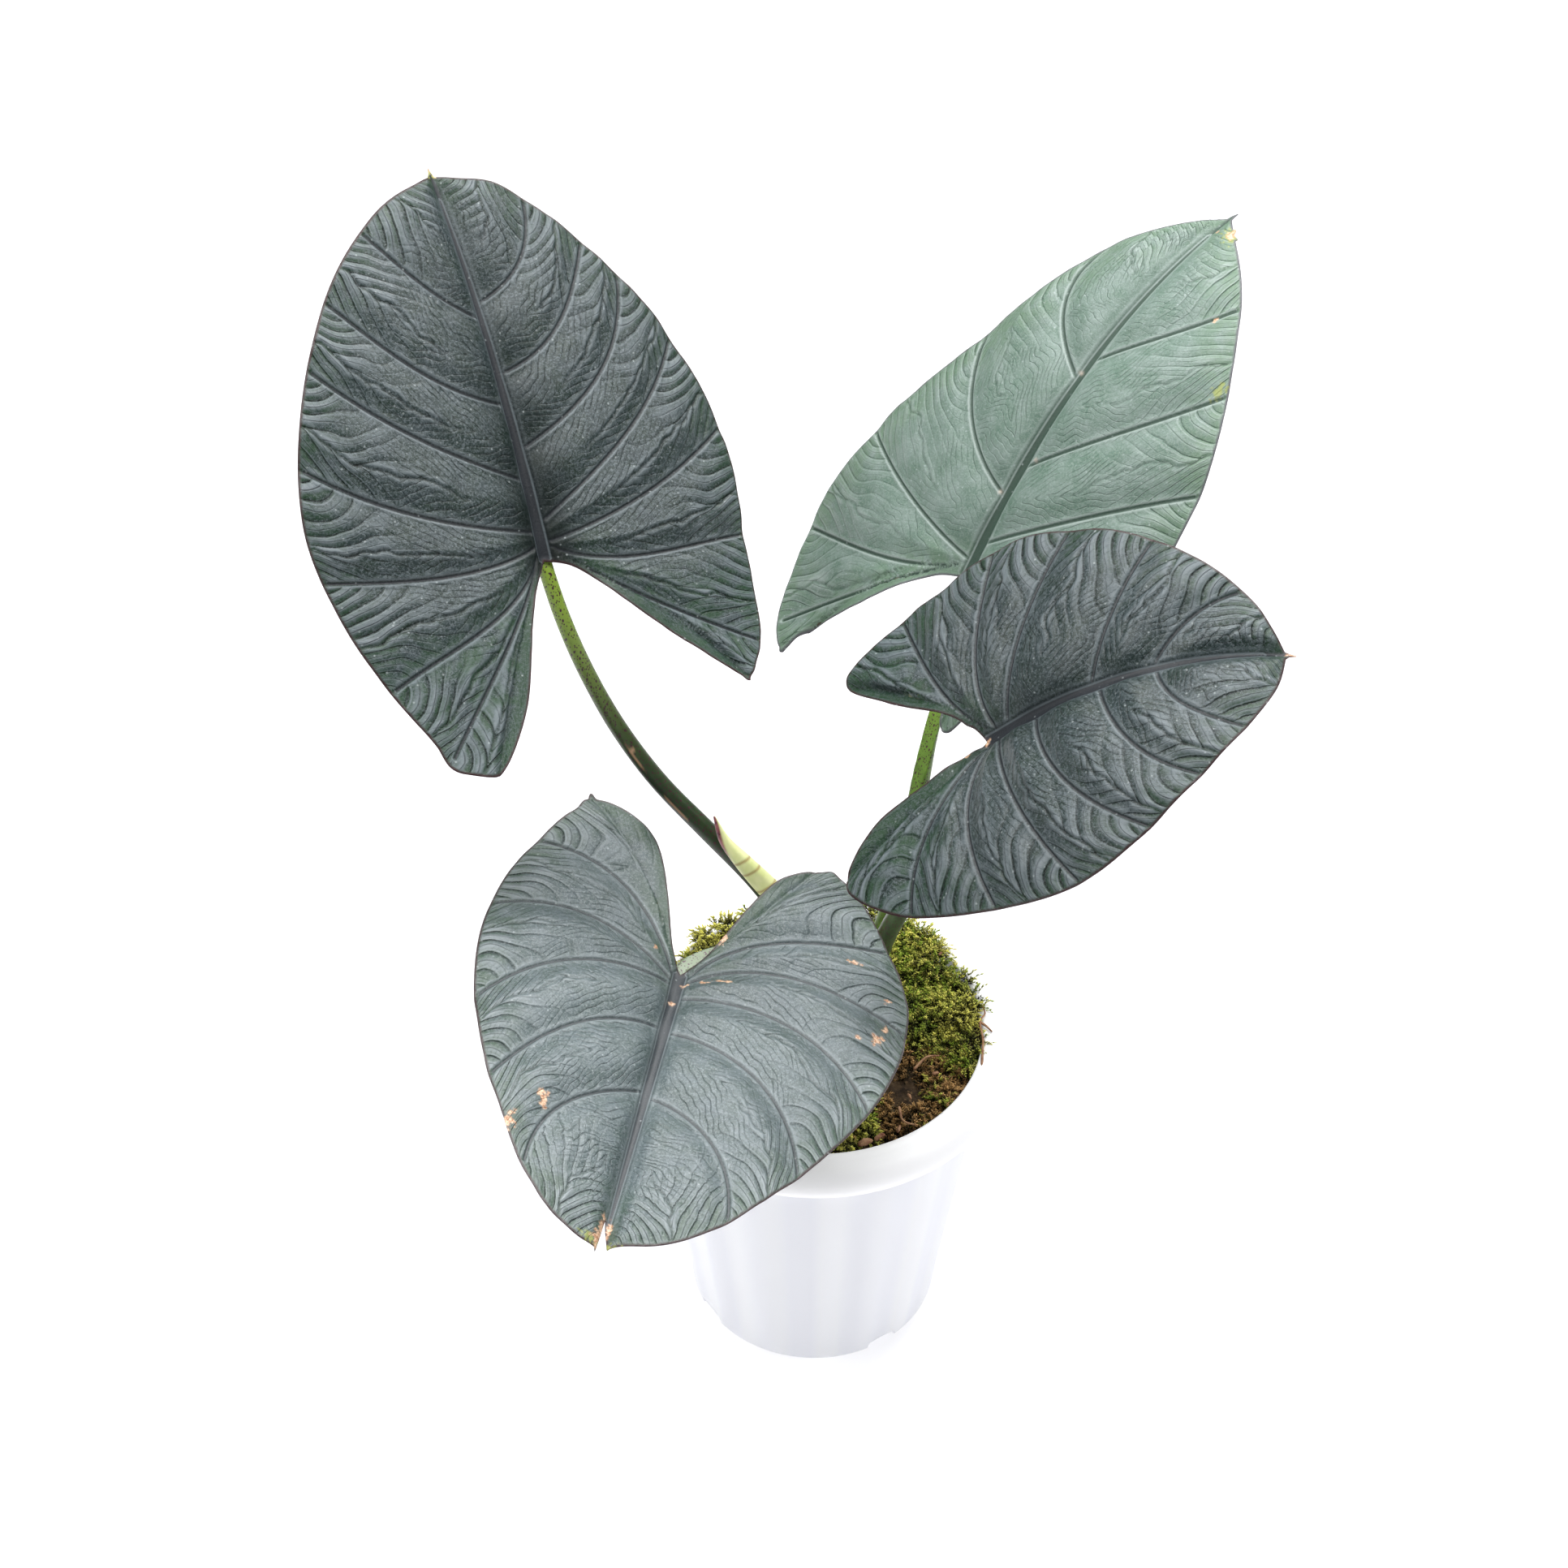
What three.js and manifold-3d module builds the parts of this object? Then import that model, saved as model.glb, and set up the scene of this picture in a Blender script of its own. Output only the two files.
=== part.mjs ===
// A potted alocasia: four heart-shaped blades on arching leaf stalks, a rolled sheath holding the
// next leaf, a short stem, potting mix with moss cushions, and a white fluted plastic pot.
// Millimetres, +Z up. The pieces are laid out round the pot's axis, and the whole plant is then
// moved so that the origin lies on the surface below the middle of the plant's spread.

import * as THREE from 'three';
import { mergeVertices } from 'three/addons/utils/BufferGeometryUtils.js';
import Module from 'manifold-3d';

const wasm = await Module();
wasm.setup();

// Driving dimensions of the pot
const RIM_RADIUS = 75;
const POT_HEIGHT = 140;
const FOOT_RADIUS = 48.8;
const BODY_TOP_RADIUS = 65;
const LIP_Z = 124.8;
const WALL = 1.6;
const FOOT_WIDTH = 2.4;
const FLOOR_UNDER_Z = 5.2;
const FLOOR_TOP_Z = 6.8;
const MOUTH_RADIUS = 63.4;
const FLUTES = 16;
const FLUTE_DEPTH = 0.9;
const POT_SECTORS = 64;
const NOTCH_COUNT = 4;
const NOTCH_ANGLE = -57;
const NOTCH_WIDTH = 13;
const NOTCH_HEIGHT = 4.6;
const DRAIN_RADIUS = 4;
const DRAIN_CIRCLE = 32;
const DRAIN_SIDES = 12;
const MID_Z = 70;
const FLUTE_FOOT_Z = 8;
const FLUTE_TOP_Z = 116;

// Where the pot's axis stands, from the middle of the plant's spread
const POT_X = 10;
const POT_Y = 5.75;

// Driving dimensions of what fills the pot
const FIT_GAP = 0.35;
const CROWN_X = 12;
const CROWN_Y = 8;
const STEM_TOP_Z = 133;
const STEM_SIDES = 24;
const STEM_SCARS = 5;
const SCAR_DEPTH = 0.8;
const STEM_TOP_RADIUS = 15;
const STEM_FOOT_Z = 100;
const STEM_FOOT_RADIUS = 9.5;
const FOOT_Z = STEM_TOP_Z + FIT_GAP;
const SOIL_WALL_Z = 131.5;
const SOIL_CROWN_RISE = 3.5;
const SOIL_SECTORS = 36;

// Driving dimensions of the leaves
const BLADE_THICKNESS = 0.9;
const MIDRIB_KEEL = 1.3;
const FAN_Y = 7;
const PAD_HEIGHT = 1.5;
const MUCRO = 3;
const STALK_SEAT_Y = 5;
const STALK_SIDES = 10;
const STALK_STEPS = 20;
const SPLIT_LENGTH = 12;
const SPLIT_WIDTH = 3.2;
const SPLIT_LEAF = 'leaf_4';

// The blade's relief: how far a vein and the midrib press it down, its folded inner lobe edges
// and its waved margin
const VEIN_VALLEY = 5.5;
const MIDRIB_VALLEY = 3.5;
const MIDRIB_GROOVE = 0.5;
const FOLD_HEIGHT = 3.2;
const WAVE_HEIGHT = 0.7;
const WAVES_PER_SPAN = 2.6;
const LOBE_REACH = 80;

// The blade's lattice: places along the outline where rows end in the lobe, the number of rows
// above it, and the shares of the way out from the midrib
const LOBE_PLACES = [0, 0.7, 1.35, 2, 2.5, 3, 3.5, 4, 4.5];
const TIP_PLACE = 9;
const UPPER_ROWS = 18;
const SHARES = [0, 0.06, 0.2, 0.4, 0.62, 0.83, 1];
const VEIN_STEPS = 12;
const BEND_STEPS = 40;

const DEG = Math.PI / 180;

// Each leaf: where its sinus sits, how it is turned, how it bends, the right and left outlines
// of the flat blade from the sinus round the lobe to the tip, and its veins as pairs of a
// height on the midrib and a place on the outline.
const LEAVES = {
  leaf_1: {
    sinus: [-91.8, 34.8, 331.7], yaw: -20.4, pitch: 49, roll: 25.7,
    droop: 13.9, back: 32.1, lift: [21.8, 2], curl: [20, 30.9], length: 137,
    right: [[12, -5], [38, -42], [54, -62], [65, -52], [75, -12], [76, 27], [60, 78], [22, 126]],
    left: [[7, -8], [29, -47], [49, -66], [61, -50], [76, -12], [83, 26], [65, 82], [28, 125]],
    rightVeins: [[88, 7.8], [62, 7.5], [37, 7.2], [13, 6.8], [7, 6.1], [7, 5.2], [7, 4.0]],
    leftVeins: [[86, 7.8], [55, 7.3], [29, 6.9], [10, 6.3], [7, 5.5], [7, 4.6], [7, 3.7]],
    bow: 0.2, colour: 0x2b3834,
  },
  leaf_2: {
    sinus: [51.8, 75.2, 293.2], yaw: 50.3, pitch: 57.5, roll: -4.7,
    droop: 40.3, back: 30.7, lift: [2.2, 6.7], curl: [27.7, 17.3], length: 161,
    right: [[9, -8], [22, -36], [32, -52], [50, -46], [71, -12], [70, 27], [64, 80], [33, 134]],
    left: [[12, -6], [42, -40], [51, -62], [62, -52], [80, -13], [70, 25], [47, 72], [25, 128]],
    rightVeins: [[91, 8], [47, 7.4], [16, 6.8], [7, 6], [7, 4.8], [7, 3.9]],
    leftVeins: [[82, 7.8], [33, 7.1], [7, 6], [7, 4.8], [7, 3.9]],
    bow: 0.1, colour: 0x6f8a76,
  },
  leaf_3: {
    sinus: [53.5, -24.2, 302.5], yaw: 104, pitch: 46.2, roll: 16.9,
    droop: 49.8, back: 32.7, lift: [8.6, 18.6], curl: [41.7, 15.8], length: 108.6,
    right: [[4, -8], [18, -41], [37, -55], [50, -42], [61, -10], [67, 24], [55, 64], [19, 102]],
    left: [[11, -6], [28, -35], [40, -51], [50, -40], [59, -9], [63, 23], [49, 64], [20, 96]],
    rightVeins: [[67, 7.8], [46, 7.3], [22, 6.9], [7, 6.2], [7, 5.2], [7, 4.4]],
    leftVeins: [[68, 7.9], [45, 7.1], [10, 6.5], [7, 5.8], [7, 4.5]],
    bow: 0.18, colour: 0x2d3b36,
  },
  leaf_4: {
    sinus: [-47.7, -35.9, 205.6], yaw: 189.8, pitch: 1.5, roll: -13.9,
    droop: 2.4, back: 25.6, lift: [17.1, 10.7], curl: [21.8, 16], length: 125.5,
    right: [[5, -8], [25, -50], [49, -56], [56, -46], [69, -10], [70, 27], [56, 71], [21, 118]],
    left: [[6, -8], [26, -50], [42, -57], [57, -47], [80, -10], [79, 27], [59, 74], [24, 117]],
    rightVeins: [[58, 7.7], [28, 7.2], [8, 6.5], [7, 5.4], [7, 4.3]],
    leftVeins: [[61, 7.7], [30, 7.1], [12, 6.3], [7, 5.3], [7, 4.4]],
    bow: 0.18, colour: 0x48564f,
  },
};

// Each leaf stalk: its route from the short stem to just below its blade, and its two radii.
const STALKS = {
  leaf_1: {
    route: [[5, 14, FOOT_Z], [1, 13.5, 155], [-8, 13, 177], [-22, 14.5, 201], [-40, 19, 222],
      [-57, 24, 241.5], [-70, 28, 262], [-80, 31, 284], [-88, 33.5, 308]],
    foot: 4.6, top: 2.6, colour: 0x4f7a2c,
  },
  leaf_2: {
    route: [[17, 16.5, FOOT_Z], [20, 17, 155], [27, 20, 179.5], [36, 33, 222], [42, 48, 250],
      [50.5, 62, 268], [56, 74, 281.5]],
    foot: 4.6, top: 2.6, colour: 0x628b2f,
  },
  leaf_3: {
    route: [[20, 4, FOOT_Z], [24, 3, 160], [33, 0, 193], [44, -5, 228], [52, -11, 262],
      [54, -19, 288]],
    foot: 4.4, top: 2.6, colour: 0x4c6e38,
  },
  leaf_4: {
    route: [[5.5, 0, FOOT_Z], [3, -2, 155], [-6, -7, 175], [-20, -12, 189.5],
      [-34, -19, 197.5], [-43, -25.5, 200.2], [-48.2, -30.5, 200]],
    foot: 4.5, top: 2.6, colour: 0x8fa58a,
  },
};

// The rolled sheath of the next leaf, from the crown to its dry tip
const SHEATH_ROUTE = [[12, 8.5, FOOT_Z], [9, 6, 155], [-1, 4, 176], [-11.5, 5, 197.5], [-19, 7, 206.4],
  [-26.5, 8.5, 215.9], [-33.2, 11, 224.3], [-36.8, 13, 233.9]];
const SHEATH_RADIUS = 3.6;
const SHEATH_TIP_RADIUS = 0.5;

// Moss cushions: the sectors and rings of the soil's top that each one covers, and its depth
const SOIL_RINGS = [0, 0.12, 0.28, 0.46, 0.64, 0.82, 1];
const MOSS = {
  moss_right: { sectors: [-3, 9], rings: [1, 6], depth: 6.5 },
  moss_back_left: { sectors: [12, 19], rings: [2, 6], depth: 5.5 },
  moss_front: { sectors: [25, 30], rings: [3, 6], depth: 3.5 },
};

const WHITE_PLASTIC = { color: 0xf3f5f7, roughness: 0.3, metalness: 0 };
const POTTING_MIX = { color: 0x3a2a1c, roughness: 1, metalness: 0 };
const GREEN_MOSS = { color: 0x6f8423, roughness: 1, metalness: 0 };
const BROWN_STEM = { color: 0x5b4a30, roughness: 0.9, metalness: 0 };
const PALE_SHEATH = { color: 0xb9c47c, roughness: 0.5, metalness: 0 };
const BLADE_ROUGHNESS = 0.45;
const STALK_ROUGHNESS = 0.5;

const group = new THREE.Group();
group.position.set(POT_X, POT_Y, 0);

// Meshes and solids

function meshGeometry(points, faces) {
  const geometry = new THREE.BufferGeometry();
  geometry.setAttribute('position', new THREE.Float32BufferAttribute(points.flat(), 3));
  geometry.setIndex(faces.flat());
  return geometry;
}

function toSolid(geometry) {
  const bare = geometry.clone();
  bare.deleteAttribute('normal');
  bare.deleteAttribute('uv');
  const merged = mergeVertices(bare, 1e-4);
  return new wasm.Manifold(new wasm.Mesh({
    numProp: 3,
    vertProperties: new Float32Array(merged.attributes.position.array),
    triVerts: new Uint32Array(merged.index.array),
  }));
}

function fromSolid(solid) {
  const mesh = solid.getMesh();
  const geometry = new THREE.BufferGeometry();
  geometry.setAttribute('position', new THREE.BufferAttribute(mesh.vertProperties, 3));
  geometry.setIndex(new THREE.BufferAttribute(mesh.triVerts, 1));
  return geometry;
}

function addPart(name, geometry, finish) {
  geometry.computeVertexNormals();
  const mesh = new THREE.Mesh(geometry, new THREE.MeshStandardMaterial(finish));
  mesh.name = name;
  group.add(mesh);
}

function smoothstep(low, high, value) {
  const t = Math.min(Math.max((value - low) / (high - low), 0), 1);
  return t * t * (3 - 2 * t);
}

// The flat blade's outline on one side: a smooth curve from the sinus to the tip

function sideOutline(leaf, side) {
  const control = side > 0 ? leaf.right : leaf.left;
  const corners = [[0, 0], ...control, [0, leaf.length]];
  const vectors = corners.map(([x, y]) => new THREE.Vector3(side * x, y, 0));
  const curve = new THREE.CatmullRomCurve3(vectors, false, 'centripetal');
  const spans = corners.length - 1;
  return (place) => curve.getPoint(Math.min(place / spans, 1));
}

// A vein or a row of the blade's lattice: from the midrib to the outline, bowed towards the base

function veinPoint(leaf, outline, start, place, share) {
  const end = outline(place);
  const bow = leaf.bow * smoothstep(4.5, 6.5, place) * smoothstep(0, 0.3, 1 - start / leaf.length);
  const dx = end.x;
  const dy = end.y - start;
  const lever = 2 * bow * share * (1 - share);
  const x = dx * share + Math.sign(dx) * dy * lever;
  const y = start + dy * share - Math.abs(dx) * lever;
  return [x, y];
}

function veinLines(leaf, side) {
  const outline = sideOutline(leaf, side);
  const pairs = side > 0 ? leaf.rightVeins : leaf.leftVeins;
  return pairs.map(([start, place]) => {
    const line = [];
    for (let i = 0; i <= VEIN_STEPS; i += 1) {
      line.push(veinPoint(leaf, outline, start, place, i / VEIN_STEPS));
    }
    return line;
  });
}

function distanceToLine(x, y, line) {
  let nearest = Infinity;
  for (let i = 0; i + 1 < line.length; i += 1) {
    const [ax, ay] = line[i];
    const [bx, by] = line[i + 1];
    const length2 = (bx - ax) ** 2 + (by - ay) ** 2;
    const along = ((x - ax) * (bx - ax) + (y - ay) * (by - ay)) / length2;
    const t = Math.min(Math.max(along, 0), 1);
    nearest = Math.min(nearest, Math.hypot(x - ax - t * (bx - ax), y - ay - t * (by - ay)));
  }
  return nearest;
}

// The blade's relief: pads that swell between sunken veins, a groove along the midrib, inner
// lobe edges that fold up, and a waved margin

function relief(leaf, lines, x, y, share, place) {
  const vein = Math.min(...lines.map((line) => distanceToLine(x, y, line)));
  const onMidrib = y > 0 ? Math.abs(x) : Math.hypot(x, y);
  const pads = PAD_HEIGHT * (1 - Math.exp(-((vein / VEIN_VALLEY) ** 2)));
  const groove = 1 - Math.exp(-((onMidrib / MIDRIB_VALLEY) ** 2));
  const fade = 1 - 0.5 * smoothstep(0.75, 1, share);
  const fold = FOLD_HEIGHT * smoothstep(0.6, 1.6, place) * (1 - smoothstep(2.4, 3.2, place));
  const wave = WAVE_HEIGHT * Math.sin(place * WAVES_PER_SPAN * Math.PI) * smoothstep(0.7, 1, share);
  const rim = fold * smoothstep(0.72, 1, share) + wave;
  return pads * groove * fade + rim - MIDRIB_GROOVE * (1 - groove);
}

// Bends a flat point of the blade into the leaf's own frame: right, towards the tip, and up.
// The midrib droops towards the tip and the lobes rise behind the sinus, and each side lifts
// from the midrib and curls down again.

function bendPoint(leaf, x, y) {
  const droop = leaf.droop * DEG;
  const back = leaf.back * DEG;
  const sideIndex = x >= 0 ? 0 : 1;
  const lift = leaf.lift[sideIndex] * DEG;
  const curl = (leaf.curl[sideIndex] * DEG) / LOBE_REACH;
  let forward = 0;
  let rise = 0;
  let slope = 0;
  let across = 0;
  let sideRise = 0;
  for (let i = 1; i <= BEND_STEPS; i += 1) {
    const yy = (y * i) / BEND_STEPS;
    slope = yy >= 0 ? -droop * (yy / leaf.length) ** 1.5 : (back * yy) / LOBE_REACH;
    forward += (Math.cos(slope) * y) / BEND_STEPS;
    rise += (Math.sin(slope) * y) / BEND_STEPS;
    const tilt = lift - (curl * Math.abs(x) * i) / BEND_STEPS;
    across += (Math.cos(tilt) * Math.abs(x)) / BEND_STEPS;
    sideRise += (Math.sin(tilt) * Math.abs(x)) / BEND_STEPS;
  }
  return [
    Math.sign(x) * across,
    forward - sideRise * Math.sin(slope),
    rise + sideRise * Math.cos(slope),
  ];
}

function leafAxes(leaf) {
  const [cy, sy] = [Math.cos(leaf.yaw * DEG), Math.sin(leaf.yaw * DEG)];
  const [cp, sp] = [Math.cos(leaf.pitch * DEG), Math.sin(leaf.pitch * DEG)];
  const [cr, sr] = [Math.cos(leaf.roll * DEG), Math.sin(leaf.roll * DEG)];
  const forward = new THREE.Vector3(sy * cp, cy * cp, sp);
  const level = new THREE.Vector3(cy, -sy, 0);
  const above = new THREE.Vector3().crossVectors(level, forward);
  const right = level.clone().multiplyScalar(cr).addScaledVector(above, -sr);
  const up = level.clone().multiplyScalar(sr).addScaledVector(above, cr);
  return { right, forward, up };
}

function leafPoint(leaf, axes, x, y) {
  const [a, b, c] = bendPoint(leaf, x, y);
  return new THREE.Vector3(...leaf.sinus)
    .addScaledVector(axes.right, a)
    .addScaledVector(axes.forward, b)
    .addScaledVector(axes.up, c);
}

function leafNormal(leaf, axes, x, y) {
  const step = 0.5;
  const side = x >= 0 ? 1 : -1;
  const here = leafPoint(leaf, axes, x, y);
  const across = leafPoint(leaf, axes, x + side * step, y).sub(here).multiplyScalar(side);
  const along = leafPoint(leaf, axes, x, y + step).sub(here);
  const normal = across.cross(along).normalize();
  const nearSpine = 1 - smoothstep(0, 4, Math.abs(x));
  return normal.lerp(axes.up, 0.5 * nearSpine).normalize();
}

// The lattice of the blade: rows fan out from a point on the midrib into the lobe and then
// step up the midrib to the tip, the same on both sides

function rowsOfSide(leaf, side) {
  const pairs = side > 0 ? leaf.rightVeins : leaf.leftVeins;
  const fanEnd = LOBE_PLACES[LOBE_PLACES.length - 1];
  const upper = pairs.filter(([start, place]) => start > FAN_Y && place > fanEnd);
  const firstFan = Math.max(...pairs.filter(([start]) => start <= FAN_Y).map(([, place]) => place));
  const knots = [[FAN_Y, firstFan], ...upper.reverse(), [leaf.length, TIP_PLACE]];
  const fan = [...LOBE_PLACES];
  for (let place = fanEnd + 0.5; place < firstFan - 0.2; place += 0.5) {
    fan.push(place);
  }
  return { fan, knots, firstFan };
}

function placeAt(knots, height) {
  for (let i = 0; i + 1 < knots.length; i += 1) {
    const [low, lowPlace] = knots[i];
    const [high, highPlace] = knots[i + 1];
    if (height <= high) {
      return lowPlace + ((highPlace - lowPlace) * (height - low)) / (high - low);
    }
  }
  return TIP_PLACE;
}

function bladeLattice(leaf) {
  const points = [];
  const faces = [];
  const add = (x, y, share, place) => points.push({ x, y, share, place }) - 1;
  const fanPoint = add(0, FAN_Y, 0, 0);
  const seam = SHARES.map((share) => (share === 0 ? fanPoint : add(0, FAN_Y * (1 - share), share, 0)));
  const heights = [];
  for (let i = 0; i < UPPER_ROWS; i += 1) {
    heights.push(FAN_Y + ((leaf.length - FAN_Y) * i) / UPPER_ROWS);
  }
  const spine = heights.map((height) => (height === FAN_Y ? fanPoint : add(0, height, 0, 0)));
  const tip = add(0, leaf.length + MUCRO, 1, TIP_PLACE);
  const rims = [];
  for (const side of [1, -1]) {
    const outline = sideOutline(leaf, side);
    const { fan, knots, firstFan } = rowsOfSide(leaf, side);
    const rows = [seam];
    const addRow = (root, start, place) => {
      rows.push(SHARES.map((share) => {
        if (share === 0) {
          return root;
        }
        const [x, y] = veinPoint(leaf, outline, start, place, share);
        return add(x, y, share, place);
      }));
    };
    fan.slice(1).forEach((place) => addRow(fanPoint, FAN_Y, place));
    heights.forEach((height, i) => {
      addRow(spine[i], height, i === 0 ? firstFan : placeAt(knots, height));
    });
    rows.push(SHARES.map(() => tip));
    for (let i = 0; i + 1 < rows.length; i += 1) {
      for (let j = 0; j + 1 < SHARES.length; j += 1) {
        const [a, b] = [rows[i][j], rows[i][j + 1]];
        const [d, c] = [rows[i + 1][j], rows[i + 1][j + 1]];
        for (const face of [[a, b, c], [a, c, d]]) {
          if (new Set(face).size === 3) {
            faces.push(side > 0 ? face : [face[0], face[2], face[1]]);
          }
        }
      }
    }
    rims.push(rows.map((row) => row[SHARES.length - 1]));
  }
  const [rightRim, leftRim] = rims;
  const rim = [...rightRim, ...leftRim.slice(1, -1).reverse()];
  return { points, faces, rim };
}

// A thin solid with the same triangles on both faces and a wall round its rim

function sheetSolid(top, bottom, faces, rim) {
  const count = top.length;
  const walls = [];
  rim.forEach((here, i) => {
    const next = rim[(i + 1) % rim.length];
    walls.push([here + count, next + count, next], [here + count, next, here]);
  });
  const under = faces.map(([a, b, c]) => [a + count, c + count, b + count]);
  return meshGeometry([...top, ...bottom], [...faces, ...under, ...walls]);
}

function keelDepth(leaf, x, y) {
  const along = smoothstep(STALK_SEAT_Y + 6, STALK_SEAT_Y + 16, y) * (1 - y / (leaf.length + MUCRO));
  return MIDRIB_KEEL * Math.max(along, 0) * Math.exp(-((x / 3) ** 2));
}

function bladeGeometry(leaf) {
  const axes = leafAxes(leaf);
  const { points, faces, rim } = bladeLattice(leaf);
  const lines = { 1: veinLines(leaf, 1), '-1': veinLines(leaf, -1) };
  const top = [];
  const bottom = [];
  for (const { x, y, share, place } of points) {
    const height = relief(leaf, lines[x >= 0 ? 1 : -1], x, y, share, place);
    const centre = leafPoint(leaf, axes, x, y);
    const normal = leafNormal(leaf, axes, x, y);
    const under = height - BLADE_THICKNESS / 2 - keelDepth(leaf, x, y);
    top.push(centre.clone().addScaledVector(normal, height + BLADE_THICKNESS / 2).toArray());
    bottom.push(centre.clone().addScaledVector(normal, under).toArray());
  }
  return sheetSolid(top, bottom, faces, rim);
}

// The dry split at the tip of the front leaf, as a wedge to cut away

function splitWedge(leaf) {
  const axes = leafAxes(leaf);
  const flat = [[1, leaf.length - SPLIT_LENGTH], [SPLIT_WIDTH, leaf.length + 6], [-0.6, leaf.length + 6]];
  const shell = (offset) => flat.map(([x, y]) => leafPoint(leaf, axes, x, y)
    .addScaledVector(axes.up, offset).toArray());
  return meshGeometry(
    [...shell(12), ...shell(-12)],
    [[0, 1, 2], [3, 5, 4], [3, 4, 1], [3, 1, 0], [4, 5, 2], [4, 2, 1], [5, 3, 0], [5, 0, 2]],
  );
}

// A stalk: rings of a tapering round section along a curve, its foot cut level on the short
// stem and its top cut parallel to the blade's underside

function ringOn(plane, ring, direction) {
  return ring.map((point) => {
    const away = plane.normal.dot(point) + plane.constant;
    const rate = plane.normal.dot(direction);
    return point.clone().addScaledVector(direction, -away / rate);
  });
}

function sweptSolid(curve, steps, sides, radiusAt, footPlane, topPlane) {
  const frames = curve.computeFrenetFrames(steps, false);
  const rings = [];
  for (let i = 0; i <= steps; i += 1) {
    const share = i / steps;
    const centre = curve.getPointAt(share);
    const radius = radiusAt(share);
    const ring = [];
    for (let k = 0; k < sides; k += 1) {
      const angle = (2 * Math.PI * k) / sides;
      ring.push(centre.clone()
        .addScaledVector(frames.normals[i], radius * Math.cos(angle))
        .addScaledVector(frames.binormals[i], radius * Math.sin(angle)));
    }
    if (i === 0 && footPlane) {
      rings.push(ringOn(footPlane, ring, frames.tangents[i]));
    } else if (i === steps && topPlane) {
      rings.push(ringOn(topPlane, ring, frames.tangents[i]));
    } else {
      rings.push(ring);
    }
  }
  const points = rings.flat().map((point) => point.toArray());
  const faces = [];
  for (let i = 0; i < steps; i += 1) {
    for (let k = 0; k < sides; k += 1) {
      const a = i * sides + k;
      const b = i * sides + ((k + 1) % sides);
      faces.push([a, b, b + sides], [a, b + sides, a + sides]);
    }
  }
  const last = steps * sides;
  for (let k = 1; k + 1 < sides; k += 1) {
    faces.push([0, k + 1, k], [last, last + k, last + k + 1]);
  }
  return meshGeometry(points, faces);
}

const STEM_PLANE = new THREE.Plane(new THREE.Vector3(0, 0, 1), -FOOT_Z);

function bladeUndersidePlane(leaf) {
  const axes = leafAxes(leaf);
  const seat = leafPoint(leaf, axes, 0, STALK_SEAT_Y);
  seat.addScaledVector(axes.up, -(BLADE_THICKNESS / 2 + MIDRIB_GROOVE + FIT_GAP));
  return { seat, plane: new THREE.Plane().setFromNormalAndCoplanarPoint(axes.up, seat) };
}

function stalkGeometry(leaf, stalk) {
  const { seat, plane } = bladeUndersidePlane(leaf);
  const route = [...stalk.route.map((point) => new THREE.Vector3(...point)), seat];
  const curve = new THREE.CatmullRomCurve3(route, false, 'centripetal');
  const radiusAt = (share) => stalk.foot + (stalk.top - stalk.foot) * share ** 0.75;
  return sweptSolid(curve, STALK_STEPS, STALK_SIDES, radiusAt, STEM_PLANE, plane);
}

function sheathGeometry() {
  const curve = new THREE.CatmullRomCurve3(
    SHEATH_ROUTE.map((point) => new THREE.Vector3(...point)), false, 'centripetal');
  const radiusAt = (share) => {
    const point = smoothstep(0.62, 1, share);
    return SHEATH_RADIUS - (SHEATH_RADIUS - SHEATH_TIP_RADIUS) * point;
  };
  return sweptSolid(curve, STALK_STEPS, STALK_SIDES, radiusAt, STEM_PLANE, null);
}

// The short stem: a tapering stump with the ring scars of fallen leaves

function stemRadius(z) {
  const share = (z - STEM_FOOT_Z) / (STEM_TOP_Z - STEM_FOOT_Z);
  return STEM_FOOT_RADIUS + (STEM_TOP_RADIUS - STEM_FOOT_RADIUS) * share;
}

function stemGeometry() {
  const profile = [new THREE.Vector2(0, STEM_FOOT_Z)];
  for (let i = 0; i <= 2 * STEM_SCARS; i += 1) {
    const z = STEM_FOOT_Z + ((STEM_TOP_Z - STEM_FOOT_Z) * i) / (2 * STEM_SCARS);
    profile.push(new THREE.Vector2(stemRadius(z) - (i % 2 ? SCAR_DEPTH : 0), z));
  }
  profile.push(new THREE.Vector2(0, STEM_TOP_Z));
  const geometry = new THREE.LatheGeometry(profile, STEM_SIDES);
  geometry.rotateX(Math.PI / 2);
  geometry.translate(CROWN_X, CROWN_Y, 0);
  return fromSolid(toSolid(geometry));
}

// The potting mix: a plug that follows the pot's inner wall, with a mound round the crown and a
// plain hole for the short stem. Its sectors run out from the crown.

const WALL_SLOPE = (BODY_TOP_RADIUS - FOOT_RADIUS) / LIP_Z;

function innerRadius(z) {
  const body = FOOT_RADIUS + WALL_SLOPE * z - WALL;
  return Math.min(body, BODY_TOP_RADIUS - WALL - 0.2);
}

function soilHeight(x, y) {
  const reach = Math.hypot(x - CROWN_X, y - CROWN_Y) / 30;
  const broad = 0.7 * Math.sin(x * 0.21 + 1) * Math.cos(y * 0.17);
  const lumps = broad + 0.5 * Math.sin(y * 0.33 + x * 0.11);
  const inside = 1 - smoothstep(50, 62, Math.hypot(x, y));
  return SOIL_WALL_Z + SOIL_CROWN_RISE * Math.exp(-(reach ** 2)) + lumps * inside;
}

function wallPoint(sector, z) {
  const angle = (2 * Math.PI * sector) / SOIL_SECTORS;
  const [dx, dy] = [Math.cos(angle), Math.sin(angle)];
  const limit = innerRadius(z) - FIT_GAP;
  const along = CROWN_X * dx + CROWN_Y * dy;
  const spare = limit ** 2 - CROWN_X ** 2 - CROWN_Y ** 2;
  return -along + Math.sqrt(along ** 2 + spare);
}

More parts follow.
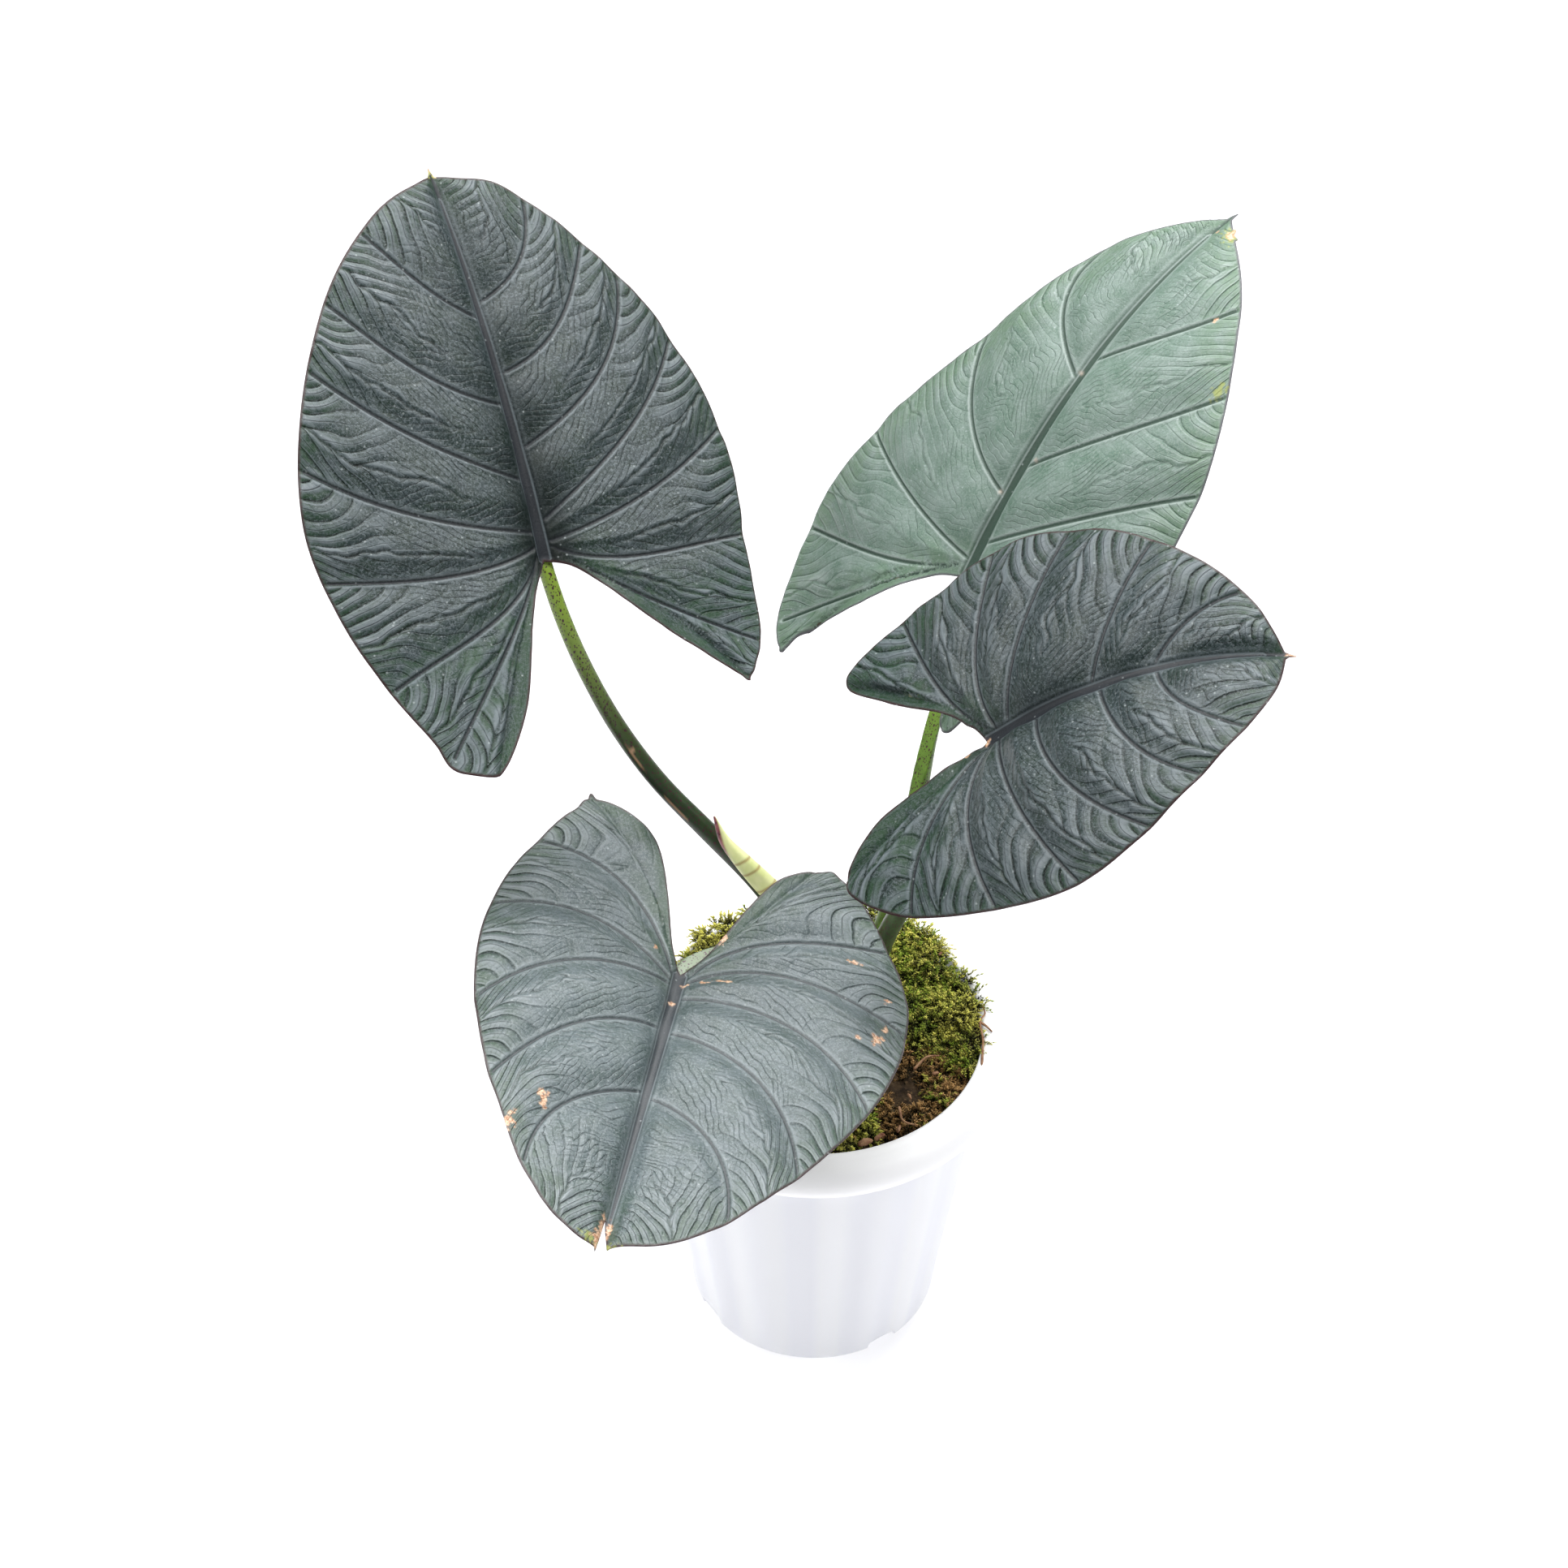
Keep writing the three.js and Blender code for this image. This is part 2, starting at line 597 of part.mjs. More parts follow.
function soilTopPoint(sector, share) {
  const angle = (2 * Math.PI * sector) / SOIL_SECTORS;
  const hole = STEM_TOP_RADIUS + FIT_GAP;
  const reach = hole + (wallPoint(sector, SOIL_WALL_Z) - hole) * share;
  const x = CROWN_X + reach * Math.cos(angle);
  const y = CROWN_Y + reach * Math.sin(angle);
  return [x, y, soilHeight(x, y)];
}

function soilGeometry() {
  const ringAt = (radiusOf, z) => (sector) => {
    const angle = (2 * Math.PI * sector) / SOIL_SECTORS;
    const reach = radiusOf(sector);
    return [CROWN_X + reach * Math.cos(angle), CROWN_Y + reach * Math.sin(angle), z];
  };
  const bottomZ = FLOOR_TOP_Z + FIT_GAP;
  const holeFootZ = STEM_FOOT_Z - FIT_GAP;
  const rings = [
    ringAt((sector) => wallPoint(sector, bottomZ) * 0.98, bottomZ),
    ringAt((sector) => wallPoint(sector, bottomZ + 2), bottomZ + 2),
    ringAt((sector) => wallPoint(sector, MID_Z), MID_Z),
    ringAt((sector) => wallPoint(sector, LIP_Z - 2), LIP_Z - 2),
    ...[...SOIL_RINGS].reverse().map((share) => (sector) => soilTopPoint(sector, share)),
    ringAt(() => stemRadius(STEM_FOOT_Z) + FIT_GAP, holeFootZ),
  ];
  const points = rings.flatMap((ring) => Array.from({ length: SOIL_SECTORS }, (_, k) => ring(k)));
  const faces = [];
  for (let i = 0; i + 1 < rings.length; i += 1) {
    for (let k = 0; k < SOIL_SECTORS; k += 1) {
      const a = i * SOIL_SECTORS + k;
      const b = i * SOIL_SECTORS + ((k + 1) % SOIL_SECTORS);
      faces.push([a, b, b + SOIL_SECTORS], [a, b + SOIL_SECTORS, a + SOIL_SECTORS]);
    }
  }
  const foot = points.push([CROWN_X, CROWN_Y, bottomZ]) - 1;
  const holeFoot = points.push([CROWN_X, CROWN_Y, holeFootZ]) - 1;
  const lastRing = (rings.length - 1) * SOIL_SECTORS;
  for (let k = 0; k < SOIL_SECTORS; k += 1) {
    const next = (k + 1) % SOIL_SECTORS;
    faces.push([foot, next, k], [holeFoot, lastRing + k, lastRing + next]);
  }
  return meshGeometry(points, faces);
}

// A moss cushion: it lies on the potting mix, on the same lattice, with a tufted top

function mossGeometry({ sectors, rings, depth }) {
  const [firstSector, lastSector] = sectors;
  const [firstRing, lastRing] = rings;
  const columns = lastRing - firstRing + 1;
  const rows = lastSector - firstSector + 1;
  const top = [];
  const bottom = [];
  for (let i = 0; i < rows; i += 1) {
    for (let j = 0; j < columns; j += 1) {
      const [x, y, z] = soilTopPoint(firstSector + i, SOIL_RINGS[firstRing + j]);
      const edge = i === 0 || i === rows - 1 || j === 0 || j === columns - 1;
      const tuft = 1.3 * Math.sin(i * 2.4 + j * 1.7) + 0.9 * Math.cos(i * 1.1 - j * 2.9);
      bottom.push([x, y, z + FIT_GAP]);
      top.push([x, y, z + FIT_GAP + (edge ? 0.45 * depth : depth + tuft)]);
    }
  }
  const faces = [];
  for (let i = 0; i + 1 < rows; i += 1) {
    for (let j = 0; j + 1 < columns; j += 1) {
      const a = i * columns + j;
      faces.push([a, a + 1, a + columns], [a + 1, a + columns + 1, a + columns]);
    }
  }
  const rim = [];
  for (let j = 0; j < columns - 1; j += 1) {
    rim.push(j);
  }
  for (let i = 0; i < rows - 1; i += 1) {
    rim.push(i * columns + columns - 1);
  }
  for (let j = columns - 1; j > 0; j -= 1) {
    rim.push((rows - 1) * columns + j);
  }
  for (let i = rows - 1; i > 0; i -= 1) {
    rim.push(i * columns);
  }
  return sheetSolid(top, bottom, faces, rim);
}

// The pot: a lathed wall with shallow flutes, a rolled rim, a raised floor with drain holes and
// arched notches in its foot

function potProfile() {
  const bodyAt = (z) => FOOT_RADIUS + WALL_SLOPE * z;
  return [
    { r: FOOT_RADIUS - FOOT_WIDTH, z: 0 },
    { r: FOOT_RADIUS, z: 0 },
    { r: bodyAt(FLUTE_FOOT_Z / 2), z: FLUTE_FOOT_Z / 2 },
    { r: bodyAt(FLUTE_FOOT_Z), z: FLUTE_FOOT_Z, fluted: true },
    { r: bodyAt(MID_Z), z: MID_Z, fluted: true },
    { r: bodyAt(FLUTE_TOP_Z), z: FLUTE_TOP_Z, fluted: true },
    { r: bodyAt(LIP_Z), z: LIP_Z },
    { r: RIM_RADIUS - 4.4, z: LIP_Z },
    { r: RIM_RADIUS - 3.5, z: 126 },
    { r: RIM_RADIUS - 0.7, z: 129 },
    { r: RIM_RADIUS, z: 132 },
    { r: RIM_RADIUS - 1, z: 135 },
    { r: RIM_RADIUS - 4, z: POT_HEIGHT - 1.5 },
    { r: RIM_RADIUS - 9, z: POT_HEIGHT },
    { r: MOUTH_RADIUS, z: POT_HEIGHT - 1.4 },
    { r: innerRadius(LIP_Z), z: LIP_Z },
    { r: innerRadius(MID_Z), z: MID_Z },
    { r: innerRadius(FLOOR_TOP_Z + 2), z: FLOOR_TOP_Z + 2 },
    { r: innerRadius(FLOOR_TOP_Z) - 1.2, z: FLOOR_TOP_Z },
    { r: DRAIN_CIRCLE - 12, z: FLOOR_TOP_Z },
    { r: 0, z: FLOOR_TOP_Z },
    { r: 0, z: FLOOR_UNDER_Z },
    { r: DRAIN_CIRCLE - 12, z: FLOOR_UNDER_Z },
    { r: FOOT_RADIUS - FOOT_WIDTH, z: FLOOR_UNDER_Z },
  ];
}

function potSolid() {
  const profile = potProfile();
  const points = [];
  const rings = profile.map(({ r, z, fluted }) => {
    if (r === 0) {
      const centre = points.push([0, 0, z]) - 1;
      return new Array(POT_SECTORS).fill(centre);
    }
    return Array.from({ length: POT_SECTORS }, (_, k) => {
      const angle = (2 * Math.PI * k) / POT_SECTORS;
      const flute = fluted ? (FLUTE_DEPTH * (1 - Math.cos(FLUTES * angle))) / 2 : 0;
      return points.push([(r - flute) * Math.cos(angle), (r - flute) * Math.sin(angle), z]) - 1;
    });
  });
  const faces = [];
  rings.forEach((ring, i) => {
    const above = rings[(i + 1) % rings.length];
    for (let k = 0; k < POT_SECTORS; k += 1) {
      const next = (k + 1) % POT_SECTORS;
      for (const face of [[ring[k], ring[next], above[next]], [ring[k], above[next], above[k]]]) {
        if (new Set(face).size === 3) {
          faces.push(face);
        }
      }
    }
  });
  return toSolid(meshGeometry(points, faces));
}

function archCutter(angle) {
  const arch = new THREE.Shape();
  arch.moveTo(-NOTCH_WIDTH / 2, -1);
  arch.lineTo(NOTCH_WIDTH / 2, -1);
  arch.lineTo(NOTCH_WIDTH / 2, NOTCH_HEIGHT * 0.45);
  arch.lineTo(NOTCH_WIDTH * 0.3, NOTCH_HEIGHT);
  arch.lineTo(-NOTCH_WIDTH * 0.3, NOTCH_HEIGHT);
  arch.lineTo(-NOTCH_WIDTH / 2, NOTCH_HEIGHT * 0.45);
  arch.closePath();
  const geometry = new THREE.ExtrudeGeometry(arch, { depth: 16, bevelEnabled: false });
  geometry.rotateX(Math.PI / 2);
  geometry.rotateZ(Math.PI);
  geometry.translate(0, FOOT_RADIUS - 12, 0);
  geometry.rotateZ(angle - Math.PI / 2);
  return toSolid(geometry);
}

function drainCutter(angle, reach) {
  const geometry = new THREE.CylinderGeometry(DRAIN_RADIUS, DRAIN_RADIUS, 8, DRAIN_SIDES);
  geometry.rotateX(Math.PI / 2);
  geometry.translate(reach * Math.cos(angle), reach * Math.sin(angle), FLOOR_UNDER_Z);
  return toSolid(geometry);
}

function potGeometry() {
  let solid = potSolid().subtract(drainCutter(0, 0));
  for (let i = 0; i < NOTCH_COUNT; i += 1) {
    const angle = (NOTCH_ANGLE + (360 / NOTCH_COUNT) * i) * DEG;
    solid = solid.subtract(archCutter(angle)).subtract(drainCutter(angle, DRAIN_CIRCLE));
  }
  return fromSolid(solid);
}

addPart('pot', potGeometry(), WHITE_PLASTIC);
addPart('soil', soilGeometry(), POTTING_MIX);
addPart('short_stem', stemGeometry(), BROWN_STEM);

for (const [name, cushion] of Object.entries(MOSS)) {
  addPart(name, mossGeometry(cushion), GREEN_MOSS);
}

for (const [name, leaf] of Object.entries(LEAVES)) {
  const blade = bladeGeometry(leaf);
  const split = () => fromSolid(toSolid(blade).subtract(toSolid(splitWedge(leaf))));
  const finish = { color: leaf.colour, roughness: BLADE_ROUGHNESS, metalness: 0 };
  addPart(`${name}_blade`, name === SPLIT_LEAF ? split() : blade, finish);
  const stalk = STALKS[name];
  const skin = { color: stalk.colour, roughness: STALK_ROUGHNESS, metalness: 0 };
  addPart(`${name}_stalk`, stalkGeometry(leaf, stalk), skin);
}

addPart('new_leaf_sheath', sheathGeometry(), PALE_SHEATH);

export default group;
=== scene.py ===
"""A potted alocasia in a pale studio: quilted blades, stalks, rolled sheath, moss, soil and pot."""
import logging
import math
from dataclasses import dataclass, field
from enum import Enum

import bpy
import numpy as np
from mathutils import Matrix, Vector, kdtree
from mathutils.geometry import delaunay_2d_cdt


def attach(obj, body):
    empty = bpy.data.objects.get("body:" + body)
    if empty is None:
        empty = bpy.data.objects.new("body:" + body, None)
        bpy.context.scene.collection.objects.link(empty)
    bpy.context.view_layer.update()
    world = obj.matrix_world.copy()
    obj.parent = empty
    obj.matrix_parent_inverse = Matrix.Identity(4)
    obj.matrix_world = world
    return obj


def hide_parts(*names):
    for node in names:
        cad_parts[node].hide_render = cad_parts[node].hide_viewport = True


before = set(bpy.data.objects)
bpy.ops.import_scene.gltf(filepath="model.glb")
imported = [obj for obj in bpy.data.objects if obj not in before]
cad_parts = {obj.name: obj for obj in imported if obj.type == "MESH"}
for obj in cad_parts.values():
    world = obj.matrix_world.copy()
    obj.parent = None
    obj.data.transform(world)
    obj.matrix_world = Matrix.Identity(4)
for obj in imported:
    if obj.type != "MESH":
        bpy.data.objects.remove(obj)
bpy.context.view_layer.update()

log = logging.getLogger("alocasia")

MM = 0.001
POT_AXIS = np.array([10.0, 5.75, 0.0])
CROWN = (12.0, 8.0)
STALK_FOOT_Z = 133.35
BLADE_THICKNESS = 0.9
TIP_PLACE = 9.0
FAN_HEIGHT = 6.0
SEAT_HEIGHT = 5.0
SPUR_LENGTH = 3.0
LOBE_REACH = 80.0
BEND_STEPS = 40
ROW_STEPS = 14
SHARE_STEPS = 70
EDGE_CLEARANCE = 0.42
FULL_THICKNESS_MARGIN = 4.0
EDGE_BULGE = 0.16
STALK_CLEARANCE = 15.4
FAR = 99.0
ARC_STEP = 6.6
ARC_STEP_INNER = 5.0
ARC_BREADTH = 4.4
BARB_STEP = 2.7
PLEAT_STEP = 2.9
EDGE_BAND = 27.0
LEAF_FACES = np.array([[0, 1, 2], [0, 3, 1], [0, 2, 3], [1, 3, 2]])
LEAF_SPIRAL = 2.4
TOP_SPACING = 0.62
UNDER_SPACING = 1.8
Colour = tuple[float, float, float]
Points = np.ndarray


class Side(Enum):
    """The two halves of a blade, seen with its tip away from the viewer."""

    RIGHT = 1
    LEFT = -1

    def pick(self, right: list, left: list) -> list:
        """This half's own list.

        Args:
            right: The right half's.
            left: The left half's.

        Returns:
            One of the two.
        """
        return right if self is Side.RIGHT else left


# Small mathematics on arrays


def smoothstep(low: float, high: float, value: Points) -> Points:
    """Eases from 0 to 1 as value goes from low to high.

    Args:
        low: Value where the step starts.
        high: Value where the step ends.
        value: Any array or number.

    Returns:
        The eased share, the same shape as value.
    """
    t = np.clip((np.asarray(value, float) - low) / (high - low), 0.0, 1.0)
    return t * t * (3.0 - 2.0 * t)


def hump(distance: Points, width: float) -> Points:
    """A bell that is 1 at distance 0 and falls off over width.

    Args:
        distance: Distance from the bell's middle.
        width: Distance at which it has fallen to about a third.

    Returns:
        The bell's height.
    """
    return np.exp(-((distance / width) ** 2))


def along_spline(corners: Points, places: Points) -> Points:
    """Points on a centripetal spline through the corners.

    Args:
        corners: The corners, one row each, in two or three dimensions.
        places: Places on the spline; a whole number is a corner.

    Returns:
        One point for each place.
    """
    count = len(corners)
    span = np.clip(np.floor(places), 0, count - 2).astype(int)
    share = (np.asarray(places, float) - span)[:, None]
    padded = np.vstack([2 * corners[0] - corners[1], corners, 2 * corners[-1] - corners[-2]])
    a, b, c, d = (padded[span + k] for k in range(4))

    def gap(p: Points, q: Points) -> Points:
        """The spline's own distance between corners, in one column."""
        return np.maximum(np.linalg.norm(p - q, axis=1), 1e-8)[:, None] ** 0.5

    ab, bc, cd = gap(a, b), gap(b, c), gap(c, d)
    leave = ((b - a) / ab - (c - a) / (ab + bc) + (c - b) / bc) * bc
    arrive = ((c - b) / bc - (d - b) / (bc + cd) + (d - c) / cd) * bc
    square, cube = share**2, share**3
    return (
        b
        + leave * share
        + (-3 * b + 3 * c - 2 * leave - arrive) * square
        + (2 * b - 2 * c + leave + arrive) * cube
    )


def even_spline(corners: Points, spacing: float) -> Points:
    """The same spline as even steps along its length.

    Args:
        corners: The corners of the spline.
        spacing: Wanted distance between points.

    Returns:
        Points from the first corner to the last.
    """
    places = np.linspace(0.0, len(corners) - 1, 60 * (len(corners) - 1) + 1)
    line = along_spline(corners, places)
    run = run_along(line)
    steps = max(int(round(run[-1] / spacing)), 2)
    wanted = np.interp(np.linspace(0.0, run[-1], steps + 1), run, places)
    return along_spline(corners, wanted)


def run_along(line: Points) -> Points:
    """Distance run from a line's start to each of its points.

    Args:
        line: The line's points.

    Returns:
        One distance for each point.
    """
    return np.concatenate([[0.0], np.cumsum(np.linalg.norm(np.diff(line, axis=0), axis=1))])


def columns(*parts: Points) -> Points:
    """Sets arrays side by side; a single number fills its whole column.

    Args:
        parts: One array or number for each column.

    Returns:
        One row for each entry.
    """
    return np.stack(np.broadcast_arrays(*parts), axis=1)


def once_round(count: int) -> Points:
    """Even angles once round, from 0.

    Args:
        count: How many angles.

    Returns:
        The angles in radians.
    """
    return np.linspace(0.0, 2 * math.pi, count, endpoint=False)


def angle_gap(angles: Points, turn: float) -> Points:
    """The smaller angle between each angle and a turn.

    Args:
        angles: Angles in radians.
        turn: The turn in radians.

    Returns:
        The gaps in radians.
    """
    return np.abs((angles - turn + math.pi) % (2 * math.pi) - math.pi)


def nearest(points: Points, places: Points) -> tuple[Points, Points]:
    """Finds the nearest flat point to each place.

    Args:
        points: The points to choose from.
        places: The places to start from.

    Returns:
        The number of each place's nearest point, and the distance to it.
    """
    tree = kdtree.KDTree(len(points))
    for number, (x, y) in enumerate(points):
        tree.insert((x, y, 0.0), number)
    tree.balance()
    numbers, distances = np.array([tree.find((x, y, 0.0))[1:] for x, y in places]).T
    return numbers.astype(int), distances


def distance_to_line(points: Points, line: Points) -> Points:
    """Distance from flat points to a flat polyline.

    Args:
        points: Points as rows of x and y.
        line: The polyline's corners.

    Returns:
        One distance for each point.
    """
    nearest = np.full(len(points), 1e9)
    for start, end in zip(line[:-1], line[1:]):
        step = end - start
        share = np.clip((points - start) @ step / max(step @ step, 1e-9), 0.0, 1.0)
        away = np.linalg.norm(points - start - share[:, None] * step, axis=1)
        nearest = np.minimum(nearest, away)
    return nearest


class SoftNoise:
    """Smooth noise over a plane that is the same on each run."""

    def __init__(self, seed: int) -> None:
        """Draws the noise's own table.

        Args:
            seed: Any whole number.
        """
        draw = np.random.default_rng(seed)
        self.table = draw.permutation(256)
        angle = draw.uniform(0.0, 2 * math.pi, 256)
        self.slopes = columns(np.cos(angle), np.sin(angle))

    def at(self, x: Points, y: Points) -> Points:
        """Noise from about -0.7 to 0.7, with cells of size 1.

        Args:
            x: First coordinate.
            y: Second coordinate.

        Returns:
            The noise at each point.
        """
        x, y = np.broadcast_arrays(np.asarray(x, float), np.asarray(y, float))
        cell_x, cell_y = np.floor(x).astype(int), np.floor(y).astype(int)
        fx, fy = x - cell_x, y - cell_y
        u = fx**3 * (fx * (fx * 6 - 15) + 10)
        v = fy**3 * (fy * (fy * 6 - 15) + 10)

        def corner(i: int, j: int) -> Points:
            """The slope of one corner of the cell, seen from the point."""
            pick = self.table[(self.table[(cell_x + i) & 255] + cell_y + j) & 255]
            return self.slopes[pick, 0] * (fx - i) + self.slopes[pick, 1] * (fy - j)

        low = corner(0, 0) * (1 - u) + corner(1, 0) * u
        high = corner(0, 1) * (1 - u) + corner(1, 1) * u
        return low * (1 - v) + high * v


# Meshes


def add_piece(name: str, points: Points, triangles: Points, slot: str) -> bpy.types.Object:
    """Makes a smooth-shaded piece that rides with the plant.

    Args:
        name: The piece's name.
        points: Corners in millimetres, laid out round the pot's axis.
        triangles: Three corner numbers a row.
        slot: Not used.

    Returns:
        The new object.
    """
    mesh = bpy.data.meshes.new(name)
    count = len(triangles)
    mesh.vertices.add(len(points))
    mesh.vertices.foreach_set("co", ((points + POT_AXIS) * MM).astype(np.float32).ravel())
    mesh.loops.add(3 * count)
    mesh.loops.foreach_set("vertex_index", np.asarray(triangles, np.int32).ravel())
    mesh.polygons.add(count)
    mesh.polygons.foreach_set("loop_start", np.arange(0, 3 * count, 3, dtype=np.int32))
    mesh.polygons.foreach_set("use_smooth", np.ones(count, bool))
    mesh.update(calc_edges=True)
    mesh.validate()
    piece = bpy.data.objects.new(name, mesh)
    bpy.context.scene.collection.objects.link(piece)
    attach(piece, "root")
    log.info("%s: %d triangles", name, count)
    return piece


def paint(piece: bpy.types.Object, name: str, values: Points) -> None:
    """Stores four numbers a corner for the finish to read.

    Args:
        piece: The piece.
        name: The name that the finish asks for.
        values: Four numbers for each corner.
    """
    layer = piece.data.attributes.new(name, "FLOAT_COLOR", "POINT")
    layer.data.foreach_set("color", values.astype(np.float32).ravel())


def tube(line: Points, radii: Points, sides: int) -> tuple[Points, Points]:
    """A closed round tube along a line, as rings that turn with it.

    Args:
        line: The middle of each ring.
        radii: One radius a ring, or one for each ring and side.
        sides: Points round a ring.

    Returns:
        The tube's points, ring by ring with two end points last, and its triangles.
    """
    tangents = np.gradient(line, axis=0)
    tangents /= np.linalg.norm(tangents, axis=1)[:, None]
    across = np.cross(tangents[0], [0.0, 1.0, 0.0])
    frames = []
    for tangent in tangents:
        across = across - tangent * (across @ tangent)
        across /= np.linalg.norm(across)
        frames.append((across, np.cross(tangent, across)))
    angles = once_round(sides)
    radii = np.asarray(radii, float)
    if radii.ndim == 1:
        radii = np.repeat(radii[:, None], sides, axis=1)
    rings = [
        centre + radius[:, None] * (np.outer(np.cos(angles), a) + np.outer(np.sin(angles), b))
        for centre, radius, (a, b) in zip(line, radii, frames)
    ]
    points = np.vstack([*rings, line[:1], line[-1:]])
    ring, side = np.meshgrid(np.arange(len(line) - 1), np.arange(sides), indexing="ij")
    a = (ring * sides + side).ravel()
    b = (ring * sides + (side + 1) % sides).ravel()
    k = np.arange(sides)
    foot, top = len(points) - 2, len(points) - 1
    last = (len(line) - 1) * sides
    caps = np.vstack([
        columns(foot, (k + 1) % sides, k),
        columns(top, last + k, last + (k + 1) % sides),
    ])
    walls = np.vstack([columns(a, b, b + sides), columns(a, b + sides, a + sides)])
    return points, np.vstack([walls, caps])


def join_meshes(parts: list[tuple[Points, Points]]) -> tuple[Points, Points]:
    """Puts several meshes into one.

    Args:
        parts: The points and triangles of each.

    Returns:
        All the points and all the triangles.
    """
    starts = np.cumsum([0, *(len(points) for points, _ in parts)])
    triangles = [faces + start for (_, faces), start in zip(parts, starts)]
    return np.vstack([points for points, _ in parts]), np.vstack(triangles)


# Materials


class NodeTree:
    """Short calls for a tree of shader nodes."""

    def __init__(self, tree: bpy.types.NodeTree) -> None:
        """Wraps a tree.

        Args:
            tree: The tree to add nodes to.
        """
        self.tree = tree

    def add(self, kind: str, inputs: dict | None = None, **settings: object) -> bpy.types.Node:
        """Adds a node.

        Args:
            kind: The node's type.
            inputs: Socket name or number to a constant, or to another node's output.
            settings: The node's own settings.

        Returns:
            The new node.
        """
        node = self.tree.nodes.new(kind)
        for name, value in settings.items():
            setattr(node, name, value)
        for name, value in (inputs or {}).items():
            self.put(node.inputs[name], value)
        return node

    def put(self, socket: bpy.types.NodeSocket, value: object) -> None:
        """Links or sets an input.

        Args:
            socket: The input.
            value: Another node's output, a colour of three numbers, or a constant.
        """
        if isinstance(value, bpy.types.NodeSocket):
            self.tree.links.new(value, socket)
        elif isinstance(value, tuple) and socket.type == "RGBA":
            socket.default_value = (*value, 1.0)
        else:
            socket.default_value = value

    def blend(self, share: object, low: object, high: object) -> object:
        """Mixes two colours.

        Args:
            share: How much of the second colour, a number or a socket.
            low: First colour.
            high: Second colour.

        Returns:
            The mixed colour's socket.
        """
        node = self.add("ShaderNodeMix", data_type="RGBA")
        for socket, value in zip((node.inputs[0], node.inputs[6], node.inputs[7]), (share, low, high)):
            self.put(socket, value)
        return node.outputs[2]

    def sum(self, kind: str, first: object, second: object = 0.0) -> object:
        """One step of arithmetic.

        Args:
            kind: The arithmetic's name, such as MULTIPLY.
            first: A number or a socket.
            second: A number or a socket, where the step needs two.

        Returns:
            The result's socket.
        """
        return self.add("ShaderNodeMath", {0: first, 1: second}, operation=kind).outputs[0]

    def ramp(self, value: object, low: float, high: float, to: tuple = (0.0, 1.0)) -> object:
        """Stretches a range to another one and stays inside it.

        Args:
            value: The socket to read.
            low: Start of the range that is read.
            high: End of the range that is read.
            to: Start and end of the range that is given.

        Returns:
            The result's socket.
        """
        inputs = {0: value, 1: low, 2: high, 3: to[0], 4: to[1]}
        return self.add("ShaderNodeMapRange", inputs, clamp=True).outputs[0]


